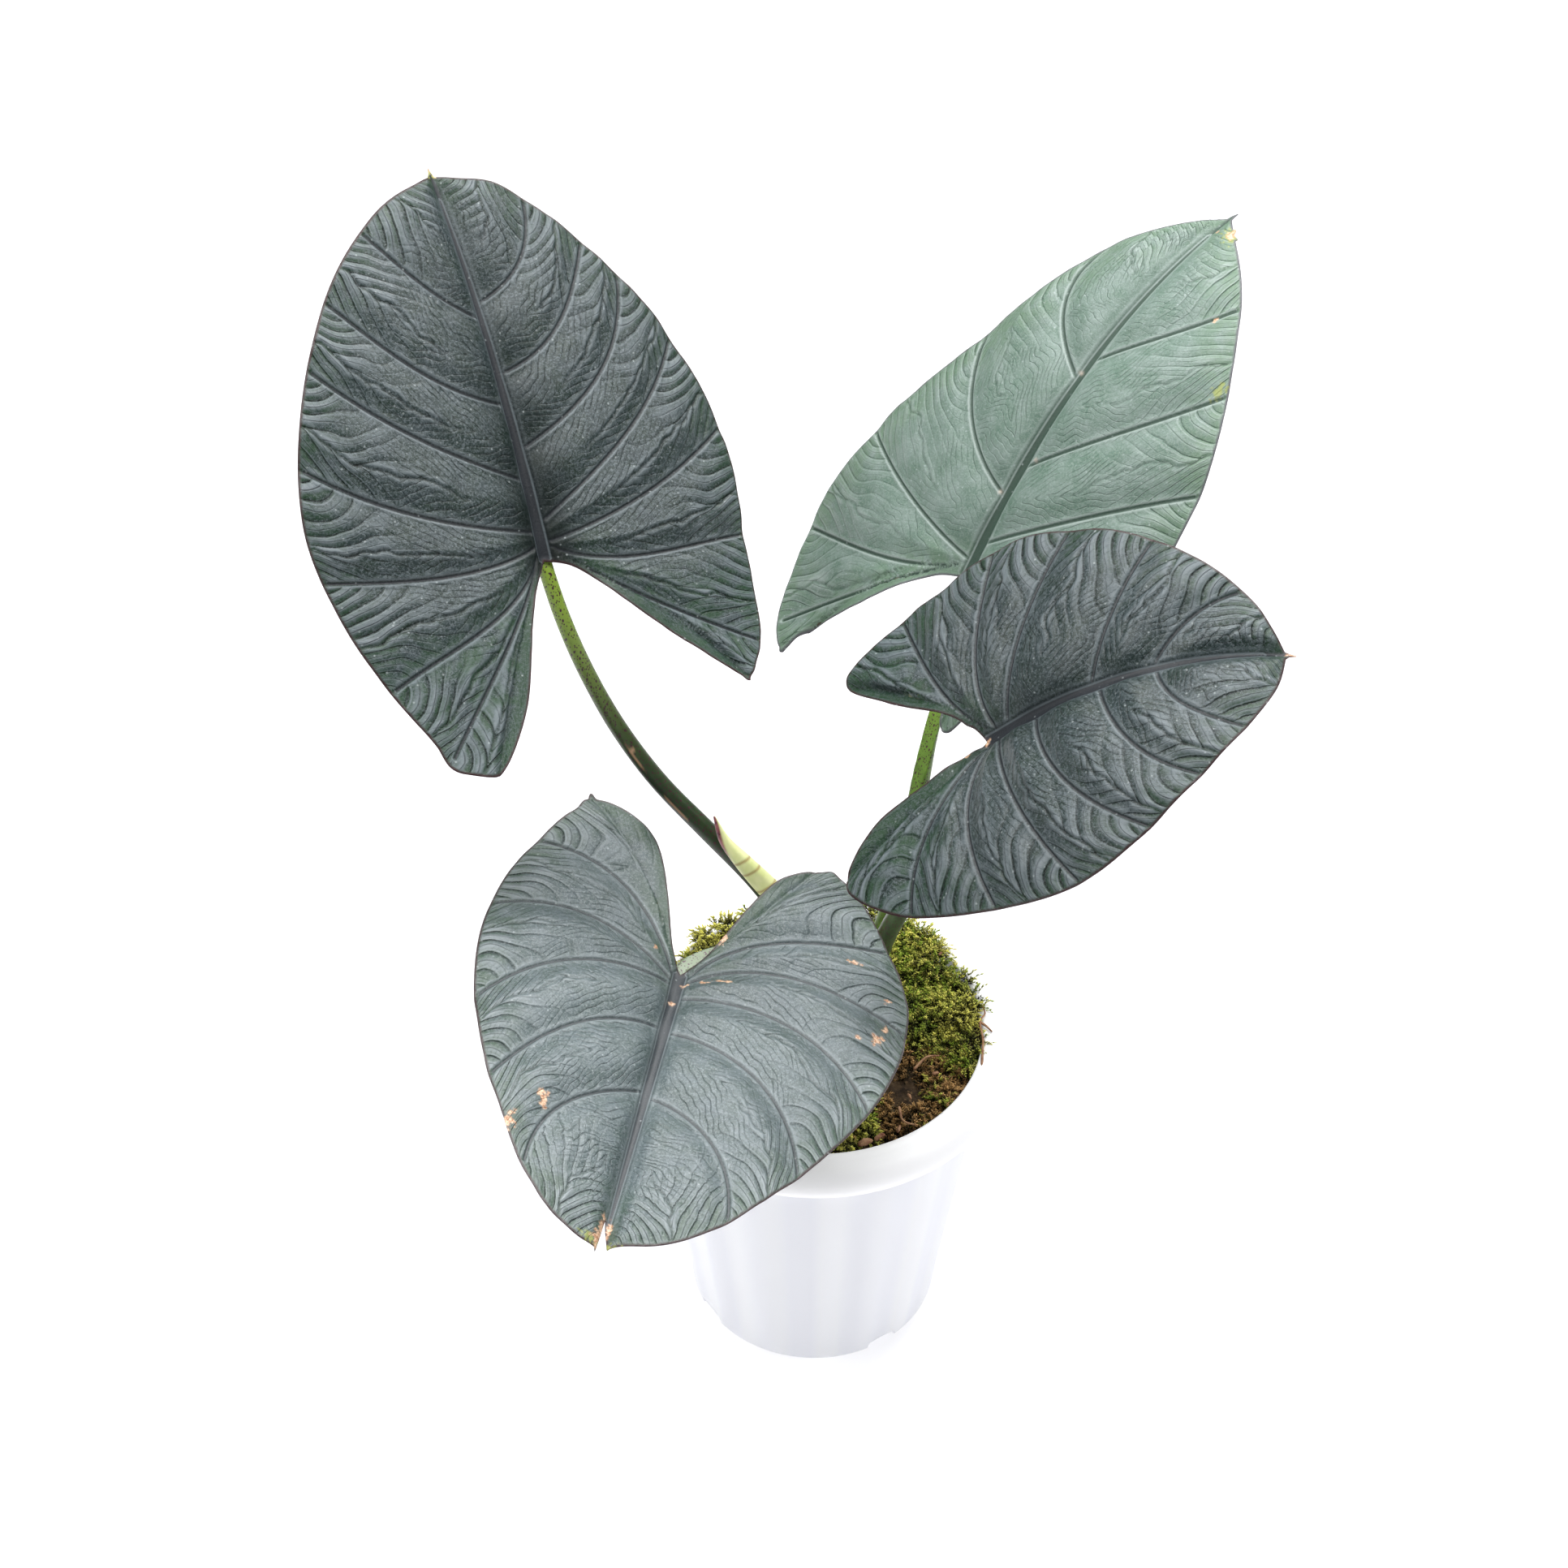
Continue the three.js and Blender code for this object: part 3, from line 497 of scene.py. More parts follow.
class Effects:
    """The node groups that several finishes share, each built once."""

    def __init__(self) -> None:
        """Builds the groups."""
        self.grain = self._grain()
        self.mottle = self._mottle()
        self.speckle = self._speckle()
        self.crease = self._crease()

    @staticmethod
    def _group(name: str, output: str, **inputs: object) -> tuple[bpy.types.NodeTree, NodeTree, object]:
        """Starts a group with its sockets.

        Args:
            name: The group's name.
            output: The name of its one output, which is a number unless it is a colour.
            inputs: Each input's default: a number, a vector of three or a colour of four.

        Returns:
            The group, its wrapper and the sockets of its inputs.
        """
        group = bpy.data.node_groups.new(name, "ShaderNodeTree")
        for label, value in inputs.items():
            kind = {3: "Vector", 4: "Color"}[len(value)] if isinstance(value, tuple) else "Float"
            socket = group.interface.new_socket(label, in_out="INPUT", socket_type=f"NodeSocket{kind}")
            socket.default_value = value
        kind = "Color" if output == "Color" else "Float"
        group.interface.new_socket(output, in_out="OUTPUT", socket_type=f"NodeSocket{kind}")
        tree = NodeTree(group)
        return group, tree, tree.add("NodeGroupInput").outputs

    def _grain(self) -> bpy.types.NodeTree:
        """Fine skin or soil grain, as a height.

        Returns:
            The group.
        """
        group, tree, given = self._group("fine_grain", "Height", Cells=2000.0, Roughness=0.6)
        place = tree.add("ShaderNodeTexCoord").outputs["Object"]
        inputs = {"Vector": place, "Scale": given["Cells"], "Detail": 3.0, "Roughness": given["Roughness"]}
        tree.add("NodeGroupOutput", {"Height": tree.add("ShaderNodeTexNoise", inputs).outputs["Fac"]})
        return group

    def _mottle(self) -> bpy.types.NodeTree:
        """Two colours that drift into each other in soft patches.

        Returns:
            The group.
        """
        white = (1.0, 1.0, 1.0, 1.0)
        group, tree, given = self._group(
            "soft_mottle", "Color", First=white, Second=white, Cells=100.0, Contrast=0.2,
        )
        place = tree.add("ShaderNodeTexCoord").outputs["Object"]
        noise = tree.add("ShaderNodeTexNoise", {"Vector": place, "Scale": given["Cells"], "Detail": 4.0})
        low = tree.sum("SUBTRACT", 0.5, given["Contrast"])
        high = tree.sum("ADD", 0.5, given["Contrast"])
        share = tree.add("ShaderNodeMapRange", {0: noise.outputs["Fac"], 1: low, 2: high}).outputs[0]
        tree.add("NodeGroupOutput", {"Color": tree.blend(share, given["First"], given["Second"])})
        return group

    def _speckle(self) -> bpy.types.NodeTree:
        """Scattered small spots, as a mask.

        Returns:
            The group.
        """
        group, tree, given = self._group(
            "scattered_specks", "Mask", Cells=1000.0, Size=0.2, Stretch=(1.0, 1.0, 1.0),
        )
        place = tree.add("ShaderNodeTexCoord").outputs["Object"]
        scaled = tree.add("ShaderNodeVectorMath", {0: place, 1: given["Stretch"]}, operation="MULTIPLY")
        spots = tree.add("ShaderNodeTexVoronoi", {"Vector": scaled.outputs[0], "Scale": given["Cells"]})
        near = tree.sum("SUBTRACT", given["Size"], spots.outputs["Distance"])
        tree.add("NodeGroupOutput", {"Mask": tree.ramp(near, 0.0, 0.12)})
        return group

    def _crease(self) -> bpy.types.NodeTree:
        """Thin lines wherever a painted number passes a whole number, as a mask.

        Returns:
            The group.
        """
        group, tree, given = self._group("crease_lines", "Mask", Phase=0.0, Amount=1.0, Width=0.1)
        away = tree.sum("PINGPONG", given["Phase"], 0.5)
        inputs = {0: away, 1: 0.0, 2: given["Width"], 3: 1.0, 4: 0.0}
        line = tree.add("ShaderNodeMapRange", inputs, interpolation_type="SMOOTHSTEP").outputs[0]
        tree.add("NodeGroupOutput", {"Mask": tree.sum("MULTIPLY", line, given["Amount"])})
        return group


class Finish:
    """A material with one Principled surface."""

    def __init__(self, name: str, roughness: float, specular: float = 0.5) -> None:
        """Starts a material.

        Args:
            name: The material's name.
            roughness: The surface's even roughness.
            specular: The surface's specular level.
        """
        self.material = bpy.data.materials.new(name)
        self.material.use_nodes = True
        self.nodes = NodeTree(self.material.node_tree)
        self.surface = self.material.node_tree.nodes["Principled BSDF"]
        self.feed("Roughness", roughness)
        self.feed("Specular IOR Level", specular)

    def feed(self, socket: str, value: object) -> None:
        """Gives the surface a colour, number or normal.

        Args:
            socket: The surface's socket.
            value: The socket that feeds it, or a constant.
        """
        self.nodes.put(self.surface.inputs[socket], value)

    def effect(self, group: bpy.types.NodeTree, **inputs: object) -> object:
        """Places a shared effect.

        Args:
            group: The node group.
            inputs: Its inputs.

        Returns:
            The effect's one output.
        """
        return self.nodes.add("ShaderNodeGroup", inputs, node_tree=group).outputs[0]

    def mottled(
        self, effects: Effects, first: Colour, second: Colour, cells: float, contrast: float = 0.2,
    ) -> object:
        """Places the soft mottle of two colours.

        Args:
            effects: The shared effects.
            first: One colour.
            second: The other colour.
            cells: How many patches a metre has.
            contrast: Half the range over which they mix; less is sharper.

        Returns:
            The colour's socket.
        """
        return self.effect(effects.mottle, First=first, Second=second, Cells=cells, Contrast=contrast)

    def grainy(self, effects: Effects, cells: float, strength: float, distance_mm: float) -> None:
        """Gives the surface a fine grain.

        Args:
            effects: The shared effects.
            cells: How many grains a metre has.
            strength: How much of the grain shows.
            distance_mm: The grain's height in millimetres.
        """
        self.feed("Normal", self.bump(self.effect(effects.grain, Cells=cells), strength, distance_mm))

    def bump(self, height: object, strength: float, distance_mm: float, below: object = None) -> object:
        """Turns a height into a bent normal.

        Args:
            height: The height's socket.
            strength: How much of it shows.
            distance_mm: The height of a full step, in millimetres.
            below: A normal to start from.

        Returns:
            The normal's socket.
        """
        inputs = {"Height": height, "Strength": strength, "Distance": distance_mm * MM}
        if below is not None:
            inputs["Normal"] = below
        return self.nodes.add("ShaderNodeBump", inputs).outputs["Normal"]

    def read(self, name: str) -> tuple[object, object, object, object]:
        """Reads four painted numbers.

        Args:
            name: The paint's name.

        Returns:
            The four sockets.
        """
        painted = self.nodes.add("ShaderNodeAttribute", attribute_name=name)
        parts = self.nodes.add("ShaderNodeSeparateColor", {0: painted.outputs["Color"]}).outputs
        return parts[0], parts[1], parts[2], painted.outputs["Alpha"]


@dataclass(frozen=True)
class BladeFinish:
    """The colours of a blade's upper face, with painted highlights and painted shade among them."""

    name: str
    pad: Colour
    pad_other: Colour
    # valley: near-black green for the relief's hollows, the creases and beside the midrib's base: painted
    # shade over the leaf's darker tissue there.
    valley: Colour
    rib: Colour
    # outer: darker green for the margin band and, as painted shade, for the lobes.
    outer: Colour
    # crest_highlight: the painted highlight colour, laid on crests, beside creases, along veins and in
    # flecks.
    crest_highlight: Colour
    rim: Colour = (0.035, 0.012, 0.014)
    scar: Colour = (0.80, 0.56, 0.38)
    node: Colour = (0.42, 0.36, 0.30)
    roughness: float = 0.33
    specular: float = 0.5
    coat: float = 0.0
    # fleck_sheen: how strongly pale flecks of the highlight colour, a painted sparkle of sheen, show.
    fleck_sheen: float = 0.8
    dull: float = 0.7
    # ridge_highlight: strength of the painted highlight lines along the veins and the midrib.
    ridge_highlight: float = 0.7
    coat_roughness: float = 0.42
    arc_line: float = 0.07
    fine_line: float = 0.12
    barb_line: float = 0.13
    # highlight_line: width of the painted highlight lines beside the creases.
    highlight_line: float = 0.08
    dust: Colour = (0.5, 0.55, 0.55)
    drying: Colour = (0.30, 0.33, 0.05)
    burn: Colour = (0.42, 0.19, 0.09)

    def build(self, effects: Effects) -> bpy.types.Material:
        """Makes the material.

        Args:
            effects: The shared effects.

        Returns:
            The material.
        """
        finish = Finish(self.name, self.roughness, self.specular)
        tone, zone = finish.read("blade_tone"), finish.read("blade_zone")
        veins = finish.read("blade_veins")
        fleck = finish.effect(effects.grain, Cells=1100.0, Roughness=0.9)
        creases, highlight_lines = self.creases(finish, effects)
        finish.feed("Base Color", self.colour(finish, effects, tone, zone, veins, (creases, highlight_lines, fleck)))
        nodes = finish.nodes
        rough = nodes.ramp(fleck, 0.3, 0.7, (self.roughness - 0.08, self.roughness + 0.12))
        finish.feed("Roughness", nodes.sum("ADD", rough, nodes.sum("MULTIPLY", tone[1], 0.15)))
        dimmed = nodes.sum("MAXIMUM", veins[2], creases)
        finish.feed("Coat Weight", nodes.ramp(dimmed, 0.0, 1.0, (self.coat, 0.1 * self.coat)))
        finish.feed("Coat Roughness", self.coat_roughness)
        grooved = finish.bump(nodes.sum("SUBTRACT", 1.0, creases), 1.0, 0.5)
        finish.feed("Normal", finish.bump(fleck, 0.9, 0.3, grooved))
        return finish.material

    def creases(self, finish: Finish, effects: Effects) -> tuple[object, object]:
        """The crease lines, and the painted highlight lines beside them.

        Args:
            finish: The material.
            effects: The shared effects.

        Returns:
            Two masks.
        """
        nodes = finish.nodes
        arc, arc_amount, barb, barb_amount = finish.read("blade_lines")
        wide = finish.effect(effects.crease, Phase=arc, Amount=arc_amount, Width=self.arc_line)
        narrow = finish.effect(effects.crease, Phase=barb, Amount=barb_amount, Width=self.barb_line)
        twice = nodes.sum("MULTIPLY", arc, 2.0)
        faint = nodes.sum("MULTIPLY", arc_amount, 0.55)
        fine = finish.effect(effects.crease, Phase=twice, Amount=faint, Width=self.fine_line)
        lines = nodes.sum("MAXIMUM", nodes.sum("MAXIMUM", wide, narrow), fine)
        # Lines just off each crease: a painted highlight beside it.
        shifted = nodes.sum("SUBTRACT", arc, 0.13)
        return lines, finish.effect(effects.crease, Phase=shifted, Amount=arc_amount, Width=self.highlight_line)

    def colour(
        self, finish: Finish, effects: Effects, tone: tuple, zone: tuple, veins: tuple, masks: tuple,
    ) -> object:
        """The blade's colour, from its pads up to its scars, with its painted highlights and painted shade.

        Args:
            finish: The material.
            effects: The shared effects.
            tone: Painted valley (painted shade over darker tissue), rib, rim and scar.
            zone: Painted outer band (darker green margin, and painted shade on the lobes), painted
                highlight on the crests, vein node and dry part.
            veins: Painted distances from the midrib and from the nearest branch.
            masks: The creases, the painted highlight lines beside them, and the flecks.

        Returns:
            The colour's socket.
        """
        nodes = finish.nodes
        valley, rib, rim, scar = tone
        outer, crest_highlight, node, dry = zone
        spine, branch = veins[:2]
        creases, highlight_lines, fleck = masks
        pad = finish.mottled(effects, self.pad, self.pad_other, 130.0, 0.16)
        # Darker green over the margin band, and over the lobes as painted shade.
        colour = nodes.blend(outer, pad, self.outer)
        # Painted highlight on the relief's crests and in thin lines beside the creases.
        colour = nodes.blend(nodes.sum("MAXIMUM", crest_highlight, highlight_lines), colour, self.crest_highlight)
        # Painted highlight lines along the edges of the branch veins.
        branch_off = nodes.sum("ABSOLUTE", nodes.sum("SUBTRACT", branch, 0.95))
        colour = nodes.blend(nodes.ramp(branch_off, 0.12, 0.42, (self.ridge_highlight, 0.0)), colour, self.crest_highlight)
        # Painted shade in the hollows, the creases and beside the midrib's base, over darker tissue.
        colour = nodes.blend(nodes.sum("MAXIMUM", valley, creases), colour, self.valley)
        branch_core = nodes.ramp(branch, 0.30, 0.62, (0.8, 0.0))
        colour = nodes.blend(nodes.sum("MAXIMUM", rib, branch_core), colour, self.rib)
        # Pale flecks of the highlight colour over the grain, a painted sparkle of sheen, held back in the
        # valleys, ribs and dull outer band.
        lines = nodes.sum("MAXIMUM", valley, rib)
        sunk = nodes.sum("MAXIMUM", lines, nodes.sum("MULTIPLY", outer, self.dull))
        fleck_sheen = nodes.ramp(fleck, 0.47, 0.62, (0.0, self.fleck_sheen))
        colour = nodes.blend(nodes.sum("MULTIPLY", fleck_sheen, nodes.ramp(sunk, 1.0, 0.0)), colour, self.crest_highlight)
        # Painted highlight lines along the midrib's edges.
        spine_off = nodes.sum("ABSOLUTE", nodes.sum("ADD", spine, 0.15))
        colour = nodes.blend(nodes.ramp(spine_off, 0.08, 0.40, (self.ridge_highlight, 0.0)), colour, self.crest_highlight)
        colour = nodes.blend(node, colour, self.node)
        colour = nodes.blend(rim, colour, self.rim)
        dust = finish.effect(effects.speckle, Cells=260.0, Size=0.13)
        colour = nodes.blend(nodes.sum("MULTIPLY", dust, 0.45), colour, self.dust)
        colour = nodes.blend(dry, colour, self.drying)
        return nodes.blend(scar, colour, finish.mottled(effects, self.scar, self.burn, 1300.0, 0.12))


@dataclass(frozen=True)
class UndersideFinish:
    """The dull lower face of a blade, with raised darker veins."""

    name: str = "blade_underside"
    field_colour: Colour = (0.10, 0.13, 0.075)
    other: Colour = (0.085, 0.075, 0.06)
    rib: Colour = (0.16, 0.19, 0.10)
    rim: Colour = (0.035, 0.012, 0.014)

    def build(self, effects: Effects) -> bpy.types.Material:
        """Makes the material.

        Args:
            effects: The shared effects.

        Returns:
            The material.
        """
        finish = Finish(self.name, 0.62, 0.3)
        nodes = finish.nodes
        rib, rim = finish.read("blade_tone")[1:3]
        ground = finish.mottled(effects, self.field_colour, self.other, 160.0, 0.2)
        colour = nodes.blend(rib, ground, self.rib)
        finish.feed("Base Color", nodes.blend(rim, colour, self.rim))
        net = nodes.add("ShaderNodeTexVoronoi", {"Scale": 320.0}, feature="DISTANCE_TO_EDGE")
        place = nodes.add("ShaderNodeTexCoord").outputs["Object"]
        nodes.tree.links.new(place, net.inputs["Vector"])
        height = nodes.ramp(net.outputs["Distance"], 0.0, 0.12, (1.0, 0.0))
        finish.feed("Normal", finish.bump(height, 0.5, 0.15))
        return finish.material


# The blades


@dataclass
class Blade:
    """One heart-shaped blade, drawn flat in millimetres and then bent into place.

    A vein is a height on the midrib, a place on the outline, how far it bows towards the base
    and how much of the bow lies near the midrib. A nib is a place on the outline, its width in
    places and its height outwards in millimetres.
    """

    name: str
    sinus: tuple[float, float, float]
    yaw: float
    pitch: float
    roll: float
    droop: float
    back: float
    lift: tuple[float, float]
    curl: tuple[float, float]
    length: float
    right: list[tuple[float, float]]
    left: list[tuple[float, float]]
    right_veins: list[tuple[float, float, float, float]]
    left_veins: list[tuple[float, float, float, float]]
    finish: BladeFinish
    slot: str
    seed: int
    quilt: float = 1.0
    fold: float = 0.38
    trough: float = 1.8
    # shade: how much painted shade lies beside the midrib's lower part.
    shade: float = 0.8
    # lobe_shade: how much of the outer colour is painted onto the lobes as shade.
    lobe_shade: float = 0.0
    pads: float = 1.9
    right_nibs: list[tuple[float, float, float]] = field(default_factory=list)
    left_nibs: list[tuple[float, float, float]] = field(default_factory=list)
    dots: list[tuple[float, float]] = field(default_factory=list)
    scars: list[tuple[float, float, float, float]] = field(default_factory=list)
    dry: list[tuple[float, float, float, float]] = field(default_factory=list)
    bites: list[list[tuple[float, float]]] = field(default_factory=list)

    def __post_init__(self) -> None:
        """Sets up the blade's noise."""
        self.noise = SoftNoise(self.seed)

    def corners(self, side: Side) -> Points:
        """The outline's corners on one side, from the sinus to the tip.

        Args:
            side: Which half.

        Returns:
            The corners.
        """
        drawn = side.pick(self.right, self.left)
        sign = side.value
        return np.array([(0.0, 0.0), *((sign * x, y) for x, y in drawn), (0.0, self.length)])

    def veins(self, side: Side) -> Points:
        """The side's main veins, from the inner edge of the lobe to the tip.

        Args:
            side: Which half.

        Returns:
            One row of four numbers for each vein.
        """
        drawn = side.pick(self.right_veins, self.left_veins)
        first = (FAN_HEIGHT, 0.0, 0.0, 0.0)
        return np.array([first, *drawn, (self.length, TIP_PLACE, 0.0, 0.0)])

    def row_lines(self, side: Side, rows: Points, shares: Points) -> Points:
        """Lines from the midrib to the outline that run with the veins.

        Args:
            side: Which half.
            rows: Places among the veins; a whole number is a vein.
            shares: Shares of the way out from the midrib.

        Returns:
            Points with a row for each line and a column for each share.
        """
        veins = self.veins(side)
        numbers = np.arange(len(veins))
        start, place, bow, skew = (np.interp(rows, numbers, veins[:, k]) for k in range(4))
        end = along_spline(self.corners(side), place)
        dx, dy = end[:, :1], (end[:, 1] - start)[:, None]
        share = shares[None, :]
        lever = 2 * bow[:, None] * share * (1 - share) * (1 + skew[:, None] * (1 - 2 * share))
        x = dx * share + side.value * dy * lever
        y = start[:, None] + dy * share - np.abs(dx) * lever
        return np.stack([x, y], axis=2)

    def edge(self, side: Side) -> Points:
        """One side's outline with its nibs, in even steps from the sinus to the tip.

        Args:
            side: Which half.

        Returns:
            The edge's points.
        """
        corners = self.corners(side)
        places = np.linspace(0.0, TIP_PLACE, 901)
        line = along_spline(corners, places)
        ahead = np.gradient(line, axis=0)
        outward = columns(ahead[:, 1], -ahead[:, 0]) * side.value
        outward /= np.linalg.norm(outward, axis=1)[:, None]
        push = np.zeros(len(places))
        for place, width, height in side.pick(self.right_nibs, self.left_nibs):
            push += height * hump(places - place, width)
        line = line + outward * (push * smoothstep(0.0, 0.5, places))[:, None]
        run = run_along(line)
        even = np.linspace(0.0, run[-1], int(round(run[-1] / TOP_SPACING)) + 1)
        return np.stack([np.interp(even, run, line[:, k]) for k in range(2)], axis=1)

    def outline(self) -> Points:
        """The flat outline, once round, with its spur and bites.

        Returns:
            The outline's points.
        """
        right = self.edge(Side.RIGHT)
        left = self.edge(Side.LEFT)[::-1]
        spur = np.array([(0.5, 0.8), (0.2, SPUR_LENGTH), (-0.5, 0.8)]) + (0.0, self.length)
        right = right[right[:, 1] < self.length - 0.5 + (right[:, 0] > 2.0) * 9]
        left = left[left[:, 1] < self.length - 0.5 + (left[:, 0] < -2.0) * 9]
        loop = np.vstack([right, spur, left[:-1]])
        for bite in self.bites:
            cut = np.array(bite)
            gap = np.linalg.norm(loop - cut[0], axis=1).argmin()
            end = np.linalg.norm(loop - cut[-1], axis=1).argmin()
            loop = np.vstack([loop[:gap], even_spline(cut, TOP_SPACING), loop[end + 1 :]])
        return loop

    @staticmethod
    def fill(outline: Points, spacing: float) -> tuple[Points, Points]:
        """Fills an outline with nearly even triangles.

        Args:
            outline: The closed outline.
            spacing: Distance between the inner points.

        Returns:
            The points, the outline's first, and the triangles.
        """
        inner = []
        after = np.roll(outline, -1, axis=0)
        heights = np.arange(outline[:, 1].min() + 0.37, outline[:, 1].max(), spacing * 0.866)
        for number, height in enumerate(heights):
            crosses = (outline[:, 1] <= height) != (after[:, 1] <= height)
            a, b = outline[crosses], after[crosses]
            xs = np.sort(a[:, 0] + (height - a[:, 1]) * (b[:, 0] - a[:, 0]) / (b[:, 1] - a[:, 1]))
            offset = 0.5 * (number % 2)
            for low, high in zip(xs[::2], xs[1::2]):
                first = math.ceil((low + 0.45 * spacing) / spacing - offset)
                last = math.floor((high - 0.45 * spacing) / spacing - offset)
                inner.extend(((k + offset) * spacing, height) for k in range(first, last + 1))
        away = nearest(outline, inner)[1]
        kept = [p for p, reach in zip(inner, away) if reach > EDGE_CLEARANCE * TOP_SPACING]
        flat = [Vector(p) for p in (*outline.tolist(), *kept)]
        edges = [(k, (k + 1) % len(outline)) for k in range(len(outline))]
        found = delaunay_2d_cdt(flat, edges, [], 1, 1e-6)
        points = np.array([tuple(p) for p in found[0]])
        triangles = np.array([f for f in found[2] if len(f) == 3], int)
        a, b, c = (points[triangles[:, k]] for k in range(3))
        turn = (b[:, 0] - a[:, 0]) * (c[:, 1] - a[:, 1]) - (b[:, 1] - a[:, 1]) * (c[:, 0] - a[:, 0])
        triangles[turn < 0] = triangles[turn < 0][:, ::-1]
        return points, triangles

    def locate(self, side: Side, flat: Points) -> tuple[Points, Points]:
        """Finds where flat points lie among the veins.

        Args:
            side: The half they are in.
            flat: The points.

        Returns:
            Their place among the veins, and their share of the way to the outline.
        """
        count = len(self.veins(side)) - 1
        rows = np.linspace(0.0, count, count * ROW_STEPS + 1)
        shares = np.linspace(0.0, 1.0, SHARE_STEPS + 1)
        grid = self.row_lines(side, rows, shares)
        down = np.gradient(grid, axis=0)
        out = np.gradient(grid, axis=1)
        near = nearest(grid.reshape(-1, 2), flat)[0]
        i, j = near // len(shares), near % len(shares)
        away = flat - grid[i, j]
        p, q = down[i, j], out[i, j]
        cross = p[:, 0] * q[:, 1] - p[:, 1] * q[:, 0]
        cross = np.where(np.abs(cross) < 1e-4, 1e9, cross)
        di = np.clip((away[:, 0] * q[:, 1] - away[:, 1] * q[:, 0]) / cross, -1.0, 1.0)
        dj = np.clip((p[:, 0] * away[:, 1] - p[:, 1] * away[:, 0]) / cross, -1.0, 1.0)
        row = np.clip((i + di) / ROW_STEPS, 0.0, count - 1e-6)
        share = np.clip((j + dj) / SHARE_STEPS, 0.0, 1.0)
        return row, share

    def rib_distance(self, side: Side, flat: Points) -> Points:
        """Distance to the nearest main vein of one side.

        Args:
            side: Which half.
            flat: The points.

        Returns:
            One distance for each point.
        """
        count = len(self.veins(side))
        lines = self.row_lines(side, np.arange(2.0, count - 1), np.linspace(0.0, 1.0, 22))
        return np.min([distance_to_line(flat, line) for line in lines], axis=0)

    def quilting(self, side: Side, flat: Points, row: Points, share: Points) -> dict[str, Points]:
        """The creases and cushions between the main veins of one side.

        Args:
            side: Which half.
            flat: The points.
            row: Their places among the veins.
            share: Their shares of the way out.

        Returns:
            The height in millimetres, and the phase and strength of two sets of crease lines.
        """
        count = len(self.veins(side))
        shares = np.linspace(0.0, 1.0, 31)
        lines = self.row_lines(side, np.arange(float(count)), shares)
        widths = np.linalg.norm(np.diff(lines, axis=0), axis=2)
        lengths = np.linalg.norm(np.diff(lines, axis=1), axis=2).sum(axis=1)
        sector = np.floor(row).astype(int)
        u = row - sector
        spot = share * 30
        k = np.minimum(spot.astype(int), 29)
        width = widths[sector, k] * (1 - spot + k) + widths[sector, k + 1] * (spot - k)
        length = lengths[sector] * (1 - u) + lengths[sector + 1] * u
        inward = (1 - share) * length
        x, y = flat.T
        drift = self.noise.at(x / 17.0, y / 17.0) + 0.15 * self.noise.at(x / 6.5, y / 6.5)
        middle = 0.40 + 0.18 * self.noise.at(inward / 16.0, sector * 7.31 + side.value)
        middle += 0.06 * self.noise.at(inward / 5.0, sector * 3.17)
        above = smoothstep(-0.02, 0.02, u - middle)
        under_vein = (1 - u) * width
        over_vein = u * width
        near_edge = hump(inward, EDGE_BAND)

        def creases(phase: Points, period: Points, sharp: float) -> Points:
            """Cushions with a sharp crease between them, about 1 high."""
            t = phase - np.floor(phase)
            edge = np.minimum(t, 1 - t) * period
            return 0.6 * (1 - (2 * t - 1) ** 2) - 0.5 * hump(edge, sharp) + 0.6 * (0.5 - t)

        depths = np.linspace(0.0, 120.0, 481)
        counts = np.cumsum(0.25 / (ARC_STEP + ARC_STEP_INNER * smoothstep(8.0, 40.0, depths)))
        steps = np.interp(inward, depths, counts)
        breadth = ARC_BREADTH + 1.6 * self.noise.at(sector * 3.7 + 0.5, share * 1.5)
        high = (steps**1.4 + (under_vein / breadth) ** 1.4) ** (1 / 1.4)
        low = (steps**1.25 + (over_vein / breadth) ** 1.25) ** (1 / 1.25)
        arc = np.where(u > middle, high + 0.8 * drift, low - 0.8 * drift + 0.4)
        patchy = 0.85 + 0.6 * self.noise.at(x / 16.0 + 8.0, y / 16.0)
        outward = smoothstep(0.12, 0.55, share)
        arcs = (0.08 + 0.52 * near_edge) * outward * patchy
        height = arcs * creases(arc, 4.5, 0.5) * (0.75 + 0.25 * above)
        height += 0.16 * arcs * creases(2.0 * arc + 0.5, 2.2, 0.4)
        split = np.abs(u - middle) * width
        barb = split / BARB_STEP + 0.18 * inward + 0.13 * drift
        calm = smoothstep(0.03, 0.12, share) * (1 - 0.75 * smoothstep(0.45, 0.8, share))
        calm = calm * smoothstep(-0.6, 0.3, self.noise.at(x / 8.0 + 2.0, y / 8.0))
        calm = calm * smoothstep(4.0, 13.0, width)
        height += 0.17 * creases(barb, PLEAT_STEP, 0.4) * calm
        close = np.minimum(under_vein, over_vein)
        pleat = creases(inward / PLEAT_STEP + 0.6 * drift, PLEAT_STEP, 0.42)
        height += 0.10 * pleat * hump(close - 2.2, 2.6) * smoothstep(0.2, 0.4, share) * (1 - near_edge)
        inner = smoothstep(0.2, 0.5, share) * (sector > 0)
        height += (0.22 * hump(split - 1.5, 1.0) - 0.42 * hump(split, 0.5)) * inner
        height += 0.20 * self.noise.at(x / 9.0, y / 9.0) + 0.05 * self.noise.at(x / 3.0, y / 3.0)
        quiet = np.where(sector == 0, 0.3, 1.0)
        return {
            "height": height * quiet,
            "arc": arc,
            "arc_amount": np.clip(1.5 * arcs, 0, 1) * quiet,
            "barb": barb,
            "barb_amount": 0.5 * calm * quiet,
        }

